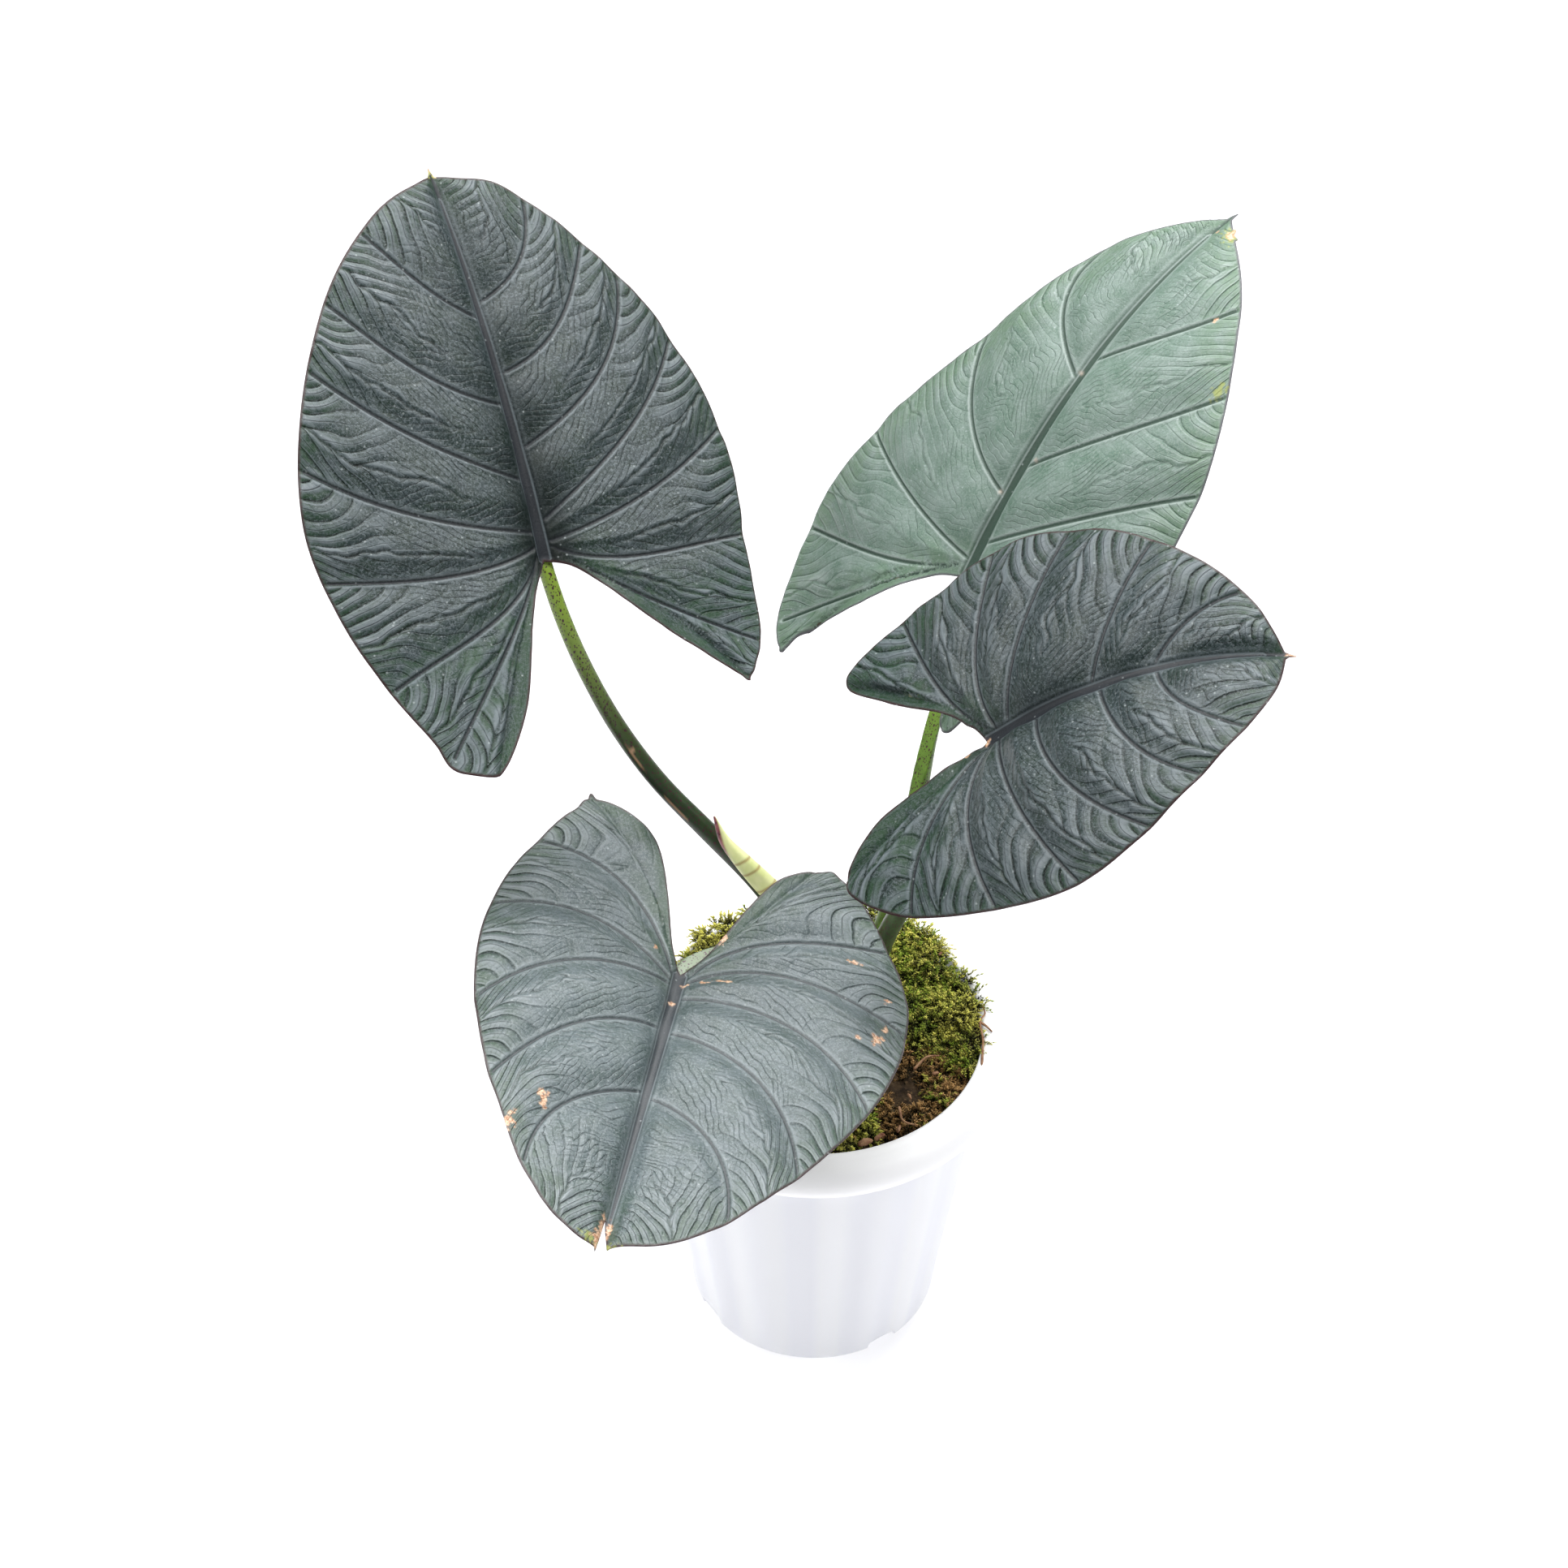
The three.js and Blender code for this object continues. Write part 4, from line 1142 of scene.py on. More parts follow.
    def shape(self, flat: Points, margin: Points) -> dict[str, Points]:
        """Everything that shapes and tints the blade at flat points.

        Args:
            flat: The points.
            margin: Their distance from the outline.

        Returns:
            The broad height, the fine height and the masks, painted shade and painted highlight among them,
            by name.
        """
        x, y = flat.T
        broad, fine = np.zeros(len(flat)), np.zeros(len(flat))
        rib = np.full(len(flat), FAR)
        out = np.zeros(len(flat))
        lines = {n: np.zeros(len(flat)) for n in ("arc", "arc_amount", "barb", "barb_amount")}
        for side in Side:
            mine = (x >= 0) if side is Side.RIGHT else (x < 0)
            row, share = self.locate(side, flat[mine])
            ribs = self.rib_distance(side, flat[mine])
            crease = self.row_lines(side, np.array([1.0]), np.linspace(0.0, 1.0, 22))[0]
            strip = distance_to_line(flat[mine], crease) * (row < 1.0)
            lobe = smoothstep(6.0, 16.0, -y[mine])
            fold = self.fold * np.minimum(strip, 8.0) * smoothstep(0.3, 2.0, strip) * lobe
            pads = self.pads * (1 - hump(ribs, 6.0)) * (1 - 0.5 * smoothstep(0.75, 1.0, share))
            seam = 0.5 * hump(strip, 0.8) * (row < 1.0) * lobe
            broad[mine] = pads * smoothstep(1.0, 1.25, row) + fold - seam
            quilt = self.quilting(side, flat[mine], row, share)
            fine[mine] = quilt["height"]
            for name, values in lines.items():
                values[mine] = quilt[name]
            rib[mine] = np.where(row < 1.0, np.maximum(ribs, 3.0), ribs)
            out[mine] = share
        along = np.clip(y / self.length, 0.0, 1.0)
        half = np.where(y > 0, 0.5 + 1.7 * (1 - along) ** 0.8, 1.6)
        spine = np.where(y > 0, np.abs(x), np.hypot(x, y))
        groove = 1 - smoothstep(-0.35, 0.55, spine - half)
        shoulder = hump(spine - half - 1.0, 0.8) * (1 - smoothstep(0.9, 1.0, along))
        valley = 1 - hump(spine, 3.5)
        inside = smoothstep(0.0, 1.6, margin)
        quiet = valley * inside * self.quilt
        vein = 0.6 * hump(rib, 0.62) - 0.22 * hump(rib - 1.25, 0.55)
        fine = fine * quiet * (1 - hump(rib, 1.1))
        for name in ("arc_amount", "barb_amount"):
            lines[name] *= np.minimum(quiet * 1.2, 1) * (1 - hump(rib, 1.2))
        fine -= vein * inside * smoothstep(half, half + 1.5, spine)
        fine += (0.28 * shoulder - 0.5 * groove * (1 - 0.6 * along)) * inside
        fine += 0.16 * hump(margin - 0.7, 0.5)
        trough = np.exp(-np.maximum(spine - half, 0) / 8.5) * (1 - along) ** 0.5
        broad = broad * valley - 0.5 * (1 - valley) - self.trough * trough
        # Painted shade beside the lower midrib, fed into the valley colour.
        midrib_shade = (1 - smoothstep(0.0, 20.0, spine - half)) * (1 - along) ** 1.2 * smoothstep(-10.0, -2.0, y)
        wave = 0.6 * self.noise.at(x / 13.0 + 5.0, y / 13.0) + 0.25 * self.noise.at(x / 6.0, y / 6.0)
        broad += wave * (1 - smoothstep(0.0, 12.0, margin))
        scar = np.zeros(len(flat))
        dry = np.zeros(len(flat))
        rag = 1.2 * self.noise.at(x / 1.8, y / 1.8) + 0.9 * self.noise.at(x / 0.9, y / 0.9)
        for mask, spots in ((scar, self.scars), (dry, self.dry)):
            for sx, sy, rx, ry in spots:
                reach = np.hypot((x - sx) / rx, (y - sy) / ry) + rag
                np.maximum(mask, 1 - smoothstep(0.75, 1.1, reach), out=mask)
        nodes = [hump(np.hypot(x - dx, y - dy), 0.7) for dx, dy in self.dots]
        patch = self.noise.at(x / 9.0 + 3.0, y / 9.0) + 0.7 * self.noise.at(x / 3.5, y / 3.5)
        # Outer band: the darker green margin, plus painted shade on the lobes.
        outer = (1 - smoothstep(2.0, 20.0, margin)) * 0.85 + self.lobe_shade * smoothstep(4.0, 30.0, -y)
        outer = np.minimum(outer, 0.9) * smoothstep(-0.5, 0.4, patch)
        outer = np.maximum(outer, 0.8 * (1 - smoothstep(1.0, 7.0, margin)))
        return {
            "broad": broad,
            "fine": fine * (1 - 0.5 * scar),
            # valley: painted shade where the fine relief dips, and beside the midrib's base.
            "valley": np.maximum(np.clip(-fine / 0.6, 0, 1), self.shade * midrib_shade),
            "rib": np.maximum(groove, 0.5 * hump(rib, 0.5) * (1 - 0.8 * out**2)),
            "rim": 1 - smoothstep(0.25, 0.85, margin),
            "scar": scar,
            "outer": outer,
            # Painted highlight where the fine relief stands highest.
            "crest_highlight": np.clip((fine - 0.12) / 0.35, 0, 1),
            "node": np.max(nodes, axis=0) if nodes else np.zeros(len(flat)),
            "dry": dry * 0.7,
            **lines,
            "midrib": np.where(y > -1.0, spine - half, 9.0) + 9.0 * smoothstep(0.93, 1.0, along),
            "branch": rib + 9.0 * (1 - inside),
            "matte": np.minimum(self.lobe_shade * smoothstep(4.0, 30.0, -y) + self.shade * midrib_shade, 1.0),
            "spine": spine,
            "ribs": rib,
        }

    def bend(self, x: Points, y: Points) -> Points:
        """Bends flat points into the blade's own frame: right, towards the tip, up.

        Args:
            x: Flat distance to the right of the midrib.
            y: Flat distance from the sinus towards the tip.

        Returns:
            One row of three numbers for each point.
        """
        droop, back = math.radians(self.droop), math.radians(self.back)
        lift = np.radians(np.where(x >= 0, self.lift[0], self.lift[1]))
        curl = np.radians(np.where(x >= 0, self.curl[0], self.curl[1])) / LOBE_REACH
        reach = np.abs(x)
        forward, rise, across, side_rise = (np.zeros(len(x)) for _ in range(4))
        slope = np.zeros(len(x))
        for i in range(1, BEND_STEPS + 1):
            yy = y * i / BEND_STEPS
            ahead = -droop * np.clip(yy / self.length, 0, None) ** 1.5
            slope = np.where(yy >= 0, ahead, back * yy / LOBE_REACH)
            forward += np.cos(slope) * y / BEND_STEPS
            rise += np.sin(slope) * y / BEND_STEPS
            here = reach * i / BEND_STEPS
            tilt = lift * smoothstep(-1.0, 3.0, here) - curl * here
            across += np.cos(tilt) * reach / BEND_STEPS
            side_rise += np.sin(tilt) * reach / BEND_STEPS
        return columns(
            np.sign(x) * across,
            forward - side_rise * np.sin(slope),
            rise + side_rise * np.cos(slope),
        )

    def axes(self) -> Points:
        """The blade's own directions: right, towards the tip, and up.

        Returns:
            Three unit rows.
        """
        yaw, pitch, roll = (math.radians(a) for a in (self.yaw, self.pitch, self.roll))
        forward = np.array([
            math.sin(yaw) * math.cos(pitch), math.cos(yaw) * math.cos(pitch), math.sin(pitch),
        ])
        level = np.array([math.cos(yaw), -math.sin(yaw), 0.0])
        above = np.cross(level, forward)
        right = level * math.cos(roll) - above * math.sin(roll)
        up = level * math.sin(roll) + above * math.cos(roll)
        return np.stack([right, forward, up])

    def place(self, flat: Points) -> tuple[Points, Points]:
        """Bends and turns flat points into the plant.

        Args:
            flat: The points.

        Returns:
            The placed points and the surface's upward normals there.
        """
        x, y = flat.T
        axes = self.axes()
        centre = self.bend(x, y)
        step = 0.6
        across = self.bend(x + step, y) - self.bend(x - step, y)
        along = self.bend(x, y + step) - self.bend(x, y - step)
        normal = np.cross(across, along)
        normal /= np.linalg.norm(normal, axis=1)[:, None]
        return np.array(self.sinus) + centre @ axes, normal @ axes

    def edge_distance(self, flat: Points, outline: Points) -> Points:
        """Distance of flat points from the outline.

        Args:
            flat: The points.
            outline: The outline.

        Returns:
            One distance for each point.
        """
        away = nearest(outline, flat)[1]
        return np.sqrt(np.maximum(away**2 - (0.25 * TOP_SPACING) ** 2, 0.0))

    def build(self, effects: Effects, under: bpy.types.Material) -> bpy.types.Object:
        """Builds the blade and dresses it.

        Args:
            effects: The shared effects.
            under: The lower face's material.

        Returns:
            The blade.
        """
        outline = self.outline()
        rim = len(outline)
        faces = {}
        for name, spacing in (("top", TOP_SPACING), ("under", UNDER_SPACING)):
            flat, triangles = self.fill(outline, spacing)
            margin = self.edge_distance(flat, outline)
            margin[:rim] = 0.0
            shape = self.shape(flat, margin)
            centre, normal = self.place(flat)
            half = BLADE_THICKNESS / 2 * (0.5 + 0.5 * smoothstep(0.0, FULL_THICKNESS_MARGIN, margin))
            if name == "top":
                height = shape["broad"] + shape["fine"] + half
            else:
                inside = smoothstep(0.0, FULL_THICKNESS_MARGIN, margin)
                flare = 1 - np.clip(flat[:, 1] / self.length, 0, 1)
                keel = 1.3 * hump(shape["spine"], 2.6) * flare * smoothstep(9.0, 22.0, flat[:, 1])
                ribs = 0.45 * hump(shape["ribs"], 1.6) * inside
                seam = 0.16 * hump(margin - 0.7, 0.5) * 0.5
                height = shape["broad"] + seam - half - (keel + ribs) * inside
            points = centre + normal * height[:, None]
            faces[name] = (points, triangles, shape, normal)
        return self.join(faces, rim, effects, under)

    def join(self, faces: dict, rim: int, effects: Effects, under: bpy.types.Material) -> bpy.types.Object:
        """Joins the upper and lower faces round a rounded edge.

        Args:
            faces: Each face's points, triangles, shape and normals.
            rim: How many points the outline has.
            effects: The shared effects.
            under: The lower face's material.

        Returns:
            The blade.
        """
        top, top_faces, top_shape, _ = faces["top"]
        low, low_faces, low_shape, _ = faces["under"]
        middle = (top[:rim] + low[:rim]) / 2
        run = np.roll(middle, -1, axis=0) - np.roll(middle, 1, axis=0)
        away = np.cross(run, top[:rim] - low[:rim])
        away /= np.maximum(np.linalg.norm(away, axis=1)[:, None], 1e-9)
        edge = middle + away * EDGE_BULGE
        points = np.vstack([top, low, edge])
        a = np.arange(rim)
        b = (a + 1) % rim
        base, lip = len(top), len(top) + len(low)
        walls = np.vstack([
            columns(a, lip + a, b), columns(b, lip + a, lip + b),
            columns(lip + a, base + a, lip + b), columns(lip + b, base + a, base + b),
        ])
        triangles = np.vstack([top_faces, low_faces[:, ::-1] + base, walls])
        blade = add_piece(f"{self.name}_blade_fine", points, triangles, self.slot)
        blade.data.materials.append(self.finish.build(effects))
        blade.data.materials.append(under)
        slots = np.zeros(len(triangles), np.int32)
        slots[len(top_faces) : len(top_faces) + len(low_faces)] = 1
        blade.data.polygons.foreach_set("material_index", slots)

        def stack(names: tuple[str, ...]) -> Points:
            """The named masks of both faces and the edge, side by side."""
            parts = (np.concatenate([top_shape[n], low_shape[n], top_shape[n][:rim]]) for n in names)
            return columns(*parts)

        paint(blade, "blade_tone", stack(("valley", "rib", "rim", "scar")))
        paint(blade, "blade_zone", stack(("outer", "crest_highlight", "node", "dry")))
        paint(blade, "blade_lines", stack(("arc", "arc_amount", "barb", "barb_amount")))
        paint(blade, "blade_veins", stack(("midrib", "branch", "matte", "rim")))
        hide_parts(f"{self.name}_blade")
        return blade


DARK = BladeFinish(
    name="blade_dark", pad=(0.014, 0.026, 0.028), pad_other=(0.005, 0.018, 0.011),
    valley=(0.001, 0.004, 0.003), rib=(0.014, 0.017, 0.021), outer=(0.010, 0.040, 0.013),
    crest_highlight=(0.115, 0.140, 0.150), specular=0.22, coat=0.45, roughness=0.33,
)
GREY = BladeFinish(
    name="blade_grey", pad=(0.080, 0.110, 0.119), pad_other=(0.042, 0.071, 0.066),
    valley=(0.010, 0.023, 0.021), rib=(0.016, 0.023, 0.029), outer=(0.015, 0.054, 0.018),
    crest_highlight=(0.20, 0.235, 0.245), specular=0.6, coat=0.4, roughness=0.36,
)
PALE = BladeFinish(
    name="blade_pale", pad=(0.165, 0.228, 0.197), pad_other=(0.088, 0.155, 0.114),
    valley=(0.020, 0.052, 0.033), rib=(0.026, 0.056, 0.038), outer=(0.110, 0.190, 0.115),
    crest_highlight=(0.32, 0.38, 0.355), rim=(0.10, 0.10, 0.11), roughness=0.38, fleck_sheen=0.35,
)

BLADES = [
    Blade(
        name="leaf_1", sinus=(-91.8, 34.8, 331.7), yaw=-20.4, pitch=49, roll=25.7,
        droop=13.9, back=32.1, lift=(21.8, 2), curl=(20, 30.9), length=137,
        right=[(12, -5), (38, -42), (54, -62), (65, -52), (75, -12), (76, 27), (60, 78), (22, 126)],
        left=[(7, -8), (29, -47), (49, -66), (61, -50), (76, -12), (82.4, 26), (65, 82), (28, 125)],
        right_veins=[
            (6, 3.07, -0.17, -0.1), (6, 4.1, 0.02, 0.3), (6, 5.16, 0.15, 0.6), (6, 6.1, 0.11, 0.0),
            (12.3, 6.75, 0.13, -0.4), (38.2, 7.23, 0.28, -0.2), (64.9, 7.47, 0.26, 0.3),
            (90.1, 7.85, 0.33, 0.0),
        ],
        left_veins=[
            (6, 2.91, 0.0, -0.2), (6, 3.75, 0.08, 0.3), (6, 4.55, 0.18, 0.6), (6, 5.53, 0.14, 0.3),
            (9.8, 6.37, 0.16, -0.1), (27.6, 6.92, 0.15, 0.0), (54.1, 7.33, 0.2, 0.3),
            (84.6, 7.83, 0.16, 0.4),
        ],
        finish=DARK, slot="blade_dark", seed=11, shade=1.0, lobe_shade=0.9,
        right_nibs=[
            (1.2, 0.6, 1.4), (2.7, 0.3, -1.2), (3.0, 0.09, 2.0), (3.6, 0.35, -1.1), (6.1, 0.45, 1.3),
            (8.1, 0.4, 1.2),
        ],
        left_nibs=[(2.1, 0.4, 0.9), (3.68, 0.3, 3.4), (4.6, 0.4, -1.0), (5.6, 0.6, -0.6), (7.5, 0.35, 1.2)],
        scars=[(1.0, 138.6, 0.8, 1.6)], dry=[(0.0, 139.5, 2.0, 2.5)],
    ),
    Blade(
        name="leaf_2", sinus=(51.8, 75.2, 293.2), yaw=50.3, pitch=57.5, roll=-4.7,
        droop=40.3, back=30.7, lift=(2.2, 6.7), curl=(27.7, 17.3), length=161,
        right=[(9, -8), (22, -36), (30, -52), (50, -46), (71, -12), (70, 27), (64, 80), (33, 134)],
        left=[(12, -6), (42, -40), (51, -62), (62, -52), (80, -13), (70, 25), (47, 72), (25, 128)],
        right_veins=[
            (6, 2.9, -0.17, 0.0), (6, 3.9, 0.03, 0.3), (6, 4.8, 0.1, 0.3), (6, 6.0, 0.05, 0.1),
            (13.4, 6.82, 0.02, 0.2), (44.1, 7.43, 0.06, -0.3), (88.8, 7.97, 0.08, -0.3),
        ],
        left_veins=[
            (6, 2.8, -0.28, 0.2), (6, 3.89, -0.06, 0.2), (6, 4.83, 0.12, 0.4), (6, 5.99, 0.07, -0.2),
            (32.3, 7.09, 0.27, -0.1), (80.5, 7.93, 0.38, -0.3),
        ],
        finish=PALE, slot="blade_pale", seed=22, quilt=0.55, shade=0.2,
        right_nibs=[(3.0, 0.3, -3.0), (3.4, 0.35, -9.0), (4.0, 0.6, -13.0)],
        left_nibs=[(1.8, 0.5, 1.9), (2.6, 0.25, -1.6), (3.0, 0.08, 1.5), (4.0, 0.55, 3.0)],
        dots=[(-1.0, 83.5), (4.0, 49.5), (-3.0, 33.0)],
        scars=[(8.6, 154.5, 1.6, 2.4), (1.9, 152.9, 0.7, 1.0), (30.2, 124.3, 0.6, 1.2)],
        dry=[(9.0, 154.0, 3.0, 4.0), (49.0, 104.0, 2.0, 3.0)],
        bites=[[(11.5, 153.6), (9.0, 154.4), (7.6, 156.6)]],
    ),
    Blade(
        name="leaf_3", sinus=(53.5, -24.2, 302.5), yaw=104, pitch=46.2, roll=16.9,
        droop=49.8, back=32.7, lift=(8.6, 18.6), curl=(41.7, 15.8), length=108.6,
        right=[(4, -8), (18, -41), (37, -55), (50, -42), (61, -10), (67, 24), (55, 64), (19, 102)],
        left=[(11, -6), (28, -35), (40, -51), (50, -40), (59, -9), (63, 23), (49, 64), (20, 96)],
        right_veins=[
            (6, 2.88, 0.03, -0.3), (6, 4.3, 0.24, -0.1), (6, 5.2, 0.26, 0.3), (6, 6.16, 0.1, 0.0),
            (22.4, 6.89, 0.25, 0.0), (47.0, 7.35, 0.28, -0.2), (66.9, 7.72, 0.3, 0.2),
        ],
        left_veins=[
            (6, 2.91, -0.18, 0.0), (6, 4.53, 0.14, 0.4), (6, 5.85, 0.2, 0.5), (9.9, 6.55, 0.1, 0.4),
            (43.8, 7.2, 0.06, 0.0), (65.3, 7.96, 0.17, -0.2),
        ],
        finish=DARK, slot="blade_dark", seed=33, quilt=1.1, shade=0.5, lobe_shade=1.0, pads=2.5,
        right_nibs=[(0.9, 0.5, 1.4), (6.4, 0.45, 1.4)],
        left_nibs=[(0.9, 0.3, 1.5), (4.7, 0.3, 1.7), (7.9, 0.5, 1.0)],
        scars=[(2.9, -7.5, 0.5, 2.2), (0.0, 0.2, 1.2, 0.7), (0.0, 110.6, 0.8, 2.0)],
    ),
    Blade(
        name="leaf_4", sinus=(-47.7, -35.9, 205.6), yaw=189.8, pitch=1.5, roll=-13.9,
        droop=2.4, back=25.6, lift=(17.1, 10.7), curl=(21.8, 16), length=125.5,
        right=[(5, -8), (25, -50), (49, -56), (56, -46), (69, -10), (70, 27), (56, 71), (21, 118)],
        left=[(6, -8), (26, -50), (42, -57), (57, -47), (80, -10), (79, 27), (59, 74), (24, 117)],
        right_veins=[
            (6, 3.0, 0.14, -0.2), (6, 4.46, 0.33, -0.2), (6, 5.4, 0.3, -0.2), (6.7, 6.49, 0.3, 0.0),
            (27.8, 7.14, 0.26, 0.2), (57.3, 7.68, 0.33, -0.2),
        ],
        left_veins=[
            (6, 2.7, 0.02, 0.0), (6, 4.47, 0.26, 0.3), (6, 5.34, 0.29, 0.2), (12.5, 6.33, 0.32, -0.1),
            (28.9, 7.12, 0.35, 0.0), (59.5, 7.66, 0.35, 0.0),
        ],
        finish=GREY, slot="blade_grey", seed=44, quilt=0.85, fold=0.2, shade=0.4, pads=2.6,
        right_nibs=[(3.02, 0.07, 2.4), (3.7, 0.3, -1.0), (7.9, 0.55, 2.0), (8.65, 0.35, 2.4)],
        left_nibs=[(3.0, 0.15, 1.0)],
        scars=[
            (32.8, 81.3, 1.4, 2.8), (34.6, 79.5, 1.0, 1.4), (41.5, 94.5, 1.5, 3.8), (-2.4, 4.9, 1.2, 0.8),
            (-8.0, 3.4, 2.0, 0.55), (-14.5, 2.2, 3.4, 0.55), (0.0, 14.4, 0.9, 1.0),
            (-11.1, -18.2, 1.1, 2.4), (-57.1, -21.4, 2.2, 0.8), (-72.6, -8.9, 1.2, 1.3),
            (-74.0, 3.4, 1.0, 1.9), (-71.0, 10.9, 1.5, 2.4), (-73.0, 9.0, 1.0, 1.2),
            (-64.7, 13.3, 0.8, 0.9), (11.7, -4.0, 0.7, 0.8),
            (2.6, 119.0, 1.1, 4.5), (3.4, 123.5, 1.5, 2.6), (-0.4, 117.5, 0.8, 3.5),
        ],
        dry=[(4.5, 124.6, 5.0, 1.4), (-3.0, 125.0, 2.5, 1.4)],
        bites=[[(2.2, 127.5), (1.9, 121.0), (1.5, 114.6), (0.2, 119.0), (-1.6, 125.6)]],
    ),
]


# The stalks


@dataclass(frozen=True)
class StalkFinish:
    """Green skin with dark specks, lighter towards the blade."""

    name: str
    low: Colour
    high: Colour
    speck: Colour = (0.050, 0.010, 0.018)
    roughness: float = 0.36

    def build(self, effects: Effects) -> bpy.types.Material:
        """Makes the material.

        Args:
            effects: The shared effects.

        Returns:
            The material.
        """
        finish = Finish(self.name, self.roughness)
        nodes = finish.nodes
        height, scar, specked, _ = finish.read("stalk_tone")
        low = finish.mottled(effects, self.low, tuple(c * 0.6 for c in self.low), 300.0)
        colour = nodes.blend(height, low, self.high)
        small = finish.effect(effects.speckle, Cells=1150.0, Size=0.34, Stretch=(1.0, 1.0, 0.7))
        large = finish.effect(effects.speckle, Cells=620.0, Size=0.30, Stretch=(1.0, 1.0, 0.6))
        spots = nodes.sum("MAXIMUM", small, large)
        spots = nodes.sum("MULTIPLY", spots, specked)
        colour = nodes.blend(spots, colour, self.speck)
        finish.feed("Base Color", nodes.blend(scar, colour, (0.50, 0.30, 0.17)))
        finish.grainy(effects, 900.0, 0.35, 0.08)
        return finish.material


@dataclass
class Stalk:
    """One arching leaf stalk, from the short stem to its blade."""

    name: str
    route: list[tuple[float, float, float]]
    foot: float
    top: float
    finish: StalkFinish
    scars: list[tuple[float, float, float]] = field(default_factory=list)
    sides: int = 28

    def build(self, blade: Blade, effects: Effects) -> bpy.types.Object:
        """Builds the stalk up to the underside of its blade.

        Args:
            blade: The blade that it carries.
            effects: The shared effects.

        Returns:
            The stalk.
        """
        seat, normal = blade.place(np.array([[0.0, SEAT_HEIGHT]]))
        end = seat[0] - normal[0] * (BLADE_THICKNESS / 2 + 1.4 + blade.trough)
        line = even_spline(np.array([*self.route, end]), 1.6)
        share = np.linspace(0.0, 1.0, len(line))
        radii = self.foot + (self.top - self.foot) * share**0.75
        radii = radii * (1 + 0.10 * hump(share - 1.0, 0.03))
        angles = once_round(self.sides)
        noise = SoftNoise(int(self.foot * 100) + len(self.route))
        around = noise.at(share[:, None] * 9.0, np.cos(angles)[None, :] * 1.3 + 4.0)
        rings = radii[:, None] * (1 + 0.035 * around)
        points, triangles = tube(line, rings, self.sides)
        foot = slice(0, self.sides)
        slope = (line[1] - line[0]) / (line[1] - line[0])[2]
        points[foot] += np.outer(STALK_FOOT_Z - points[foot, 2], slope)
        above = np.maximum((points - end) @ normal[0], 0.0)
        points -= above[:, None] * normal[0]
        stalk = add_piece(f"{self.name}_stalk_fine", points, triangles, "stalk_skin")
        height = np.concatenate([np.repeat(share, self.sides), [0.0, 1.0]])
        scar = np.zeros(len(points))
        around_all = np.concatenate([np.tile(angles, len(line)), [0.0, 0.0]])
        for at, turn, reach in self.scars:
            along = np.abs(height - at) / reach
            side = angle_gap(around_all, turn)
            ragged = 0.25 * noise.at(height * 160.0, around_all * 3.0)
            scar = np.maximum(scar, 1 - smoothstep(0.8, 1.1, np.hypot(along, side / 0.13) + ragged))
        tone = smoothstep(0.5, 1.0, height) ** 1.6
        specked = 0.25 + 0.75 * smoothstep(0.05, 0.5, height)
        paint(stalk, "stalk_tone", columns(tone, scar, specked, 1.0))
        stalk.data.materials.append(self.finish.build(effects))
        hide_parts(f"{self.name}_stalk")
        return stalk


STALKS = {
    "leaf_1": Stalk(
        name="leaf_1",
        route=[
            (5, 14, STALK_FOOT_Z), (1, 13.5, 155), (-8, 13, 177), (-22, 14.5, 201), (-40, 19, 222),
            (-57, 24, 241.5), (-70, 28, 262), (-80, 31, 284), (-88, 33.5, 308),
        ],
        foot=4.6, top=2.6,
        finish=StalkFinish("stalk_1_skin", low=(0.024, 0.050, 0.014), high=(0.26, 0.38, 0.040)),
        scars=[(0.615, 1.5, 0.030), (0.507, 1.4, 0.030), (0.63, 1.9, 0.008)],
    ),
    "leaf_2": Stalk(
        name="leaf_2",
        route=[
            (17, 16.5, STALK_FOOT_Z), (20, 17, 155), (27, 20, 179.5), (36, 33, 222), (42, 48, 250),
            (50.5, 62, 268), (56, 74, 281.5),
        ],
        foot=4.6, top=2.6,
        finish=StalkFinish("stalk_2_skin", low=(0.130, 0.240, 0.030), high=(0.34, 0.52, 0.070)),
    ),
    "leaf_3": Stalk(
        name="leaf_3",
        route=[
            (19, 4, STALK_FOOT_Z), (20, 3.5, 160), (27.5, 1, 193), (42, -4.5, 228), (51.5, -11, 262),
            (54, -19, 288),
        ],
        foot=4.4, top=2.6,
        finish=StalkFinish("stalk_3_skin", low=(0.045, 0.085, 0.020), high=(0.20, 0.33, 0.060)),
    ),
    "leaf_4": Stalk(
        name="leaf_4",
        route=[
            (5.5, 0, STALK_FOOT_Z), (3, -2, 155), (-6, -7, 175), (-20, -12, 189.5), (-34, -19, 197.5),
            (-43, -25.5, 200.2), (-48.2, -30.5, 200),
        ],
        foot=4.5, top=2.6,
        finish=StalkFinish("stalk_4_skin", low=(0.12, 0.18, 0.07), high=(0.22, 0.28, 0.18)),
    ),
}


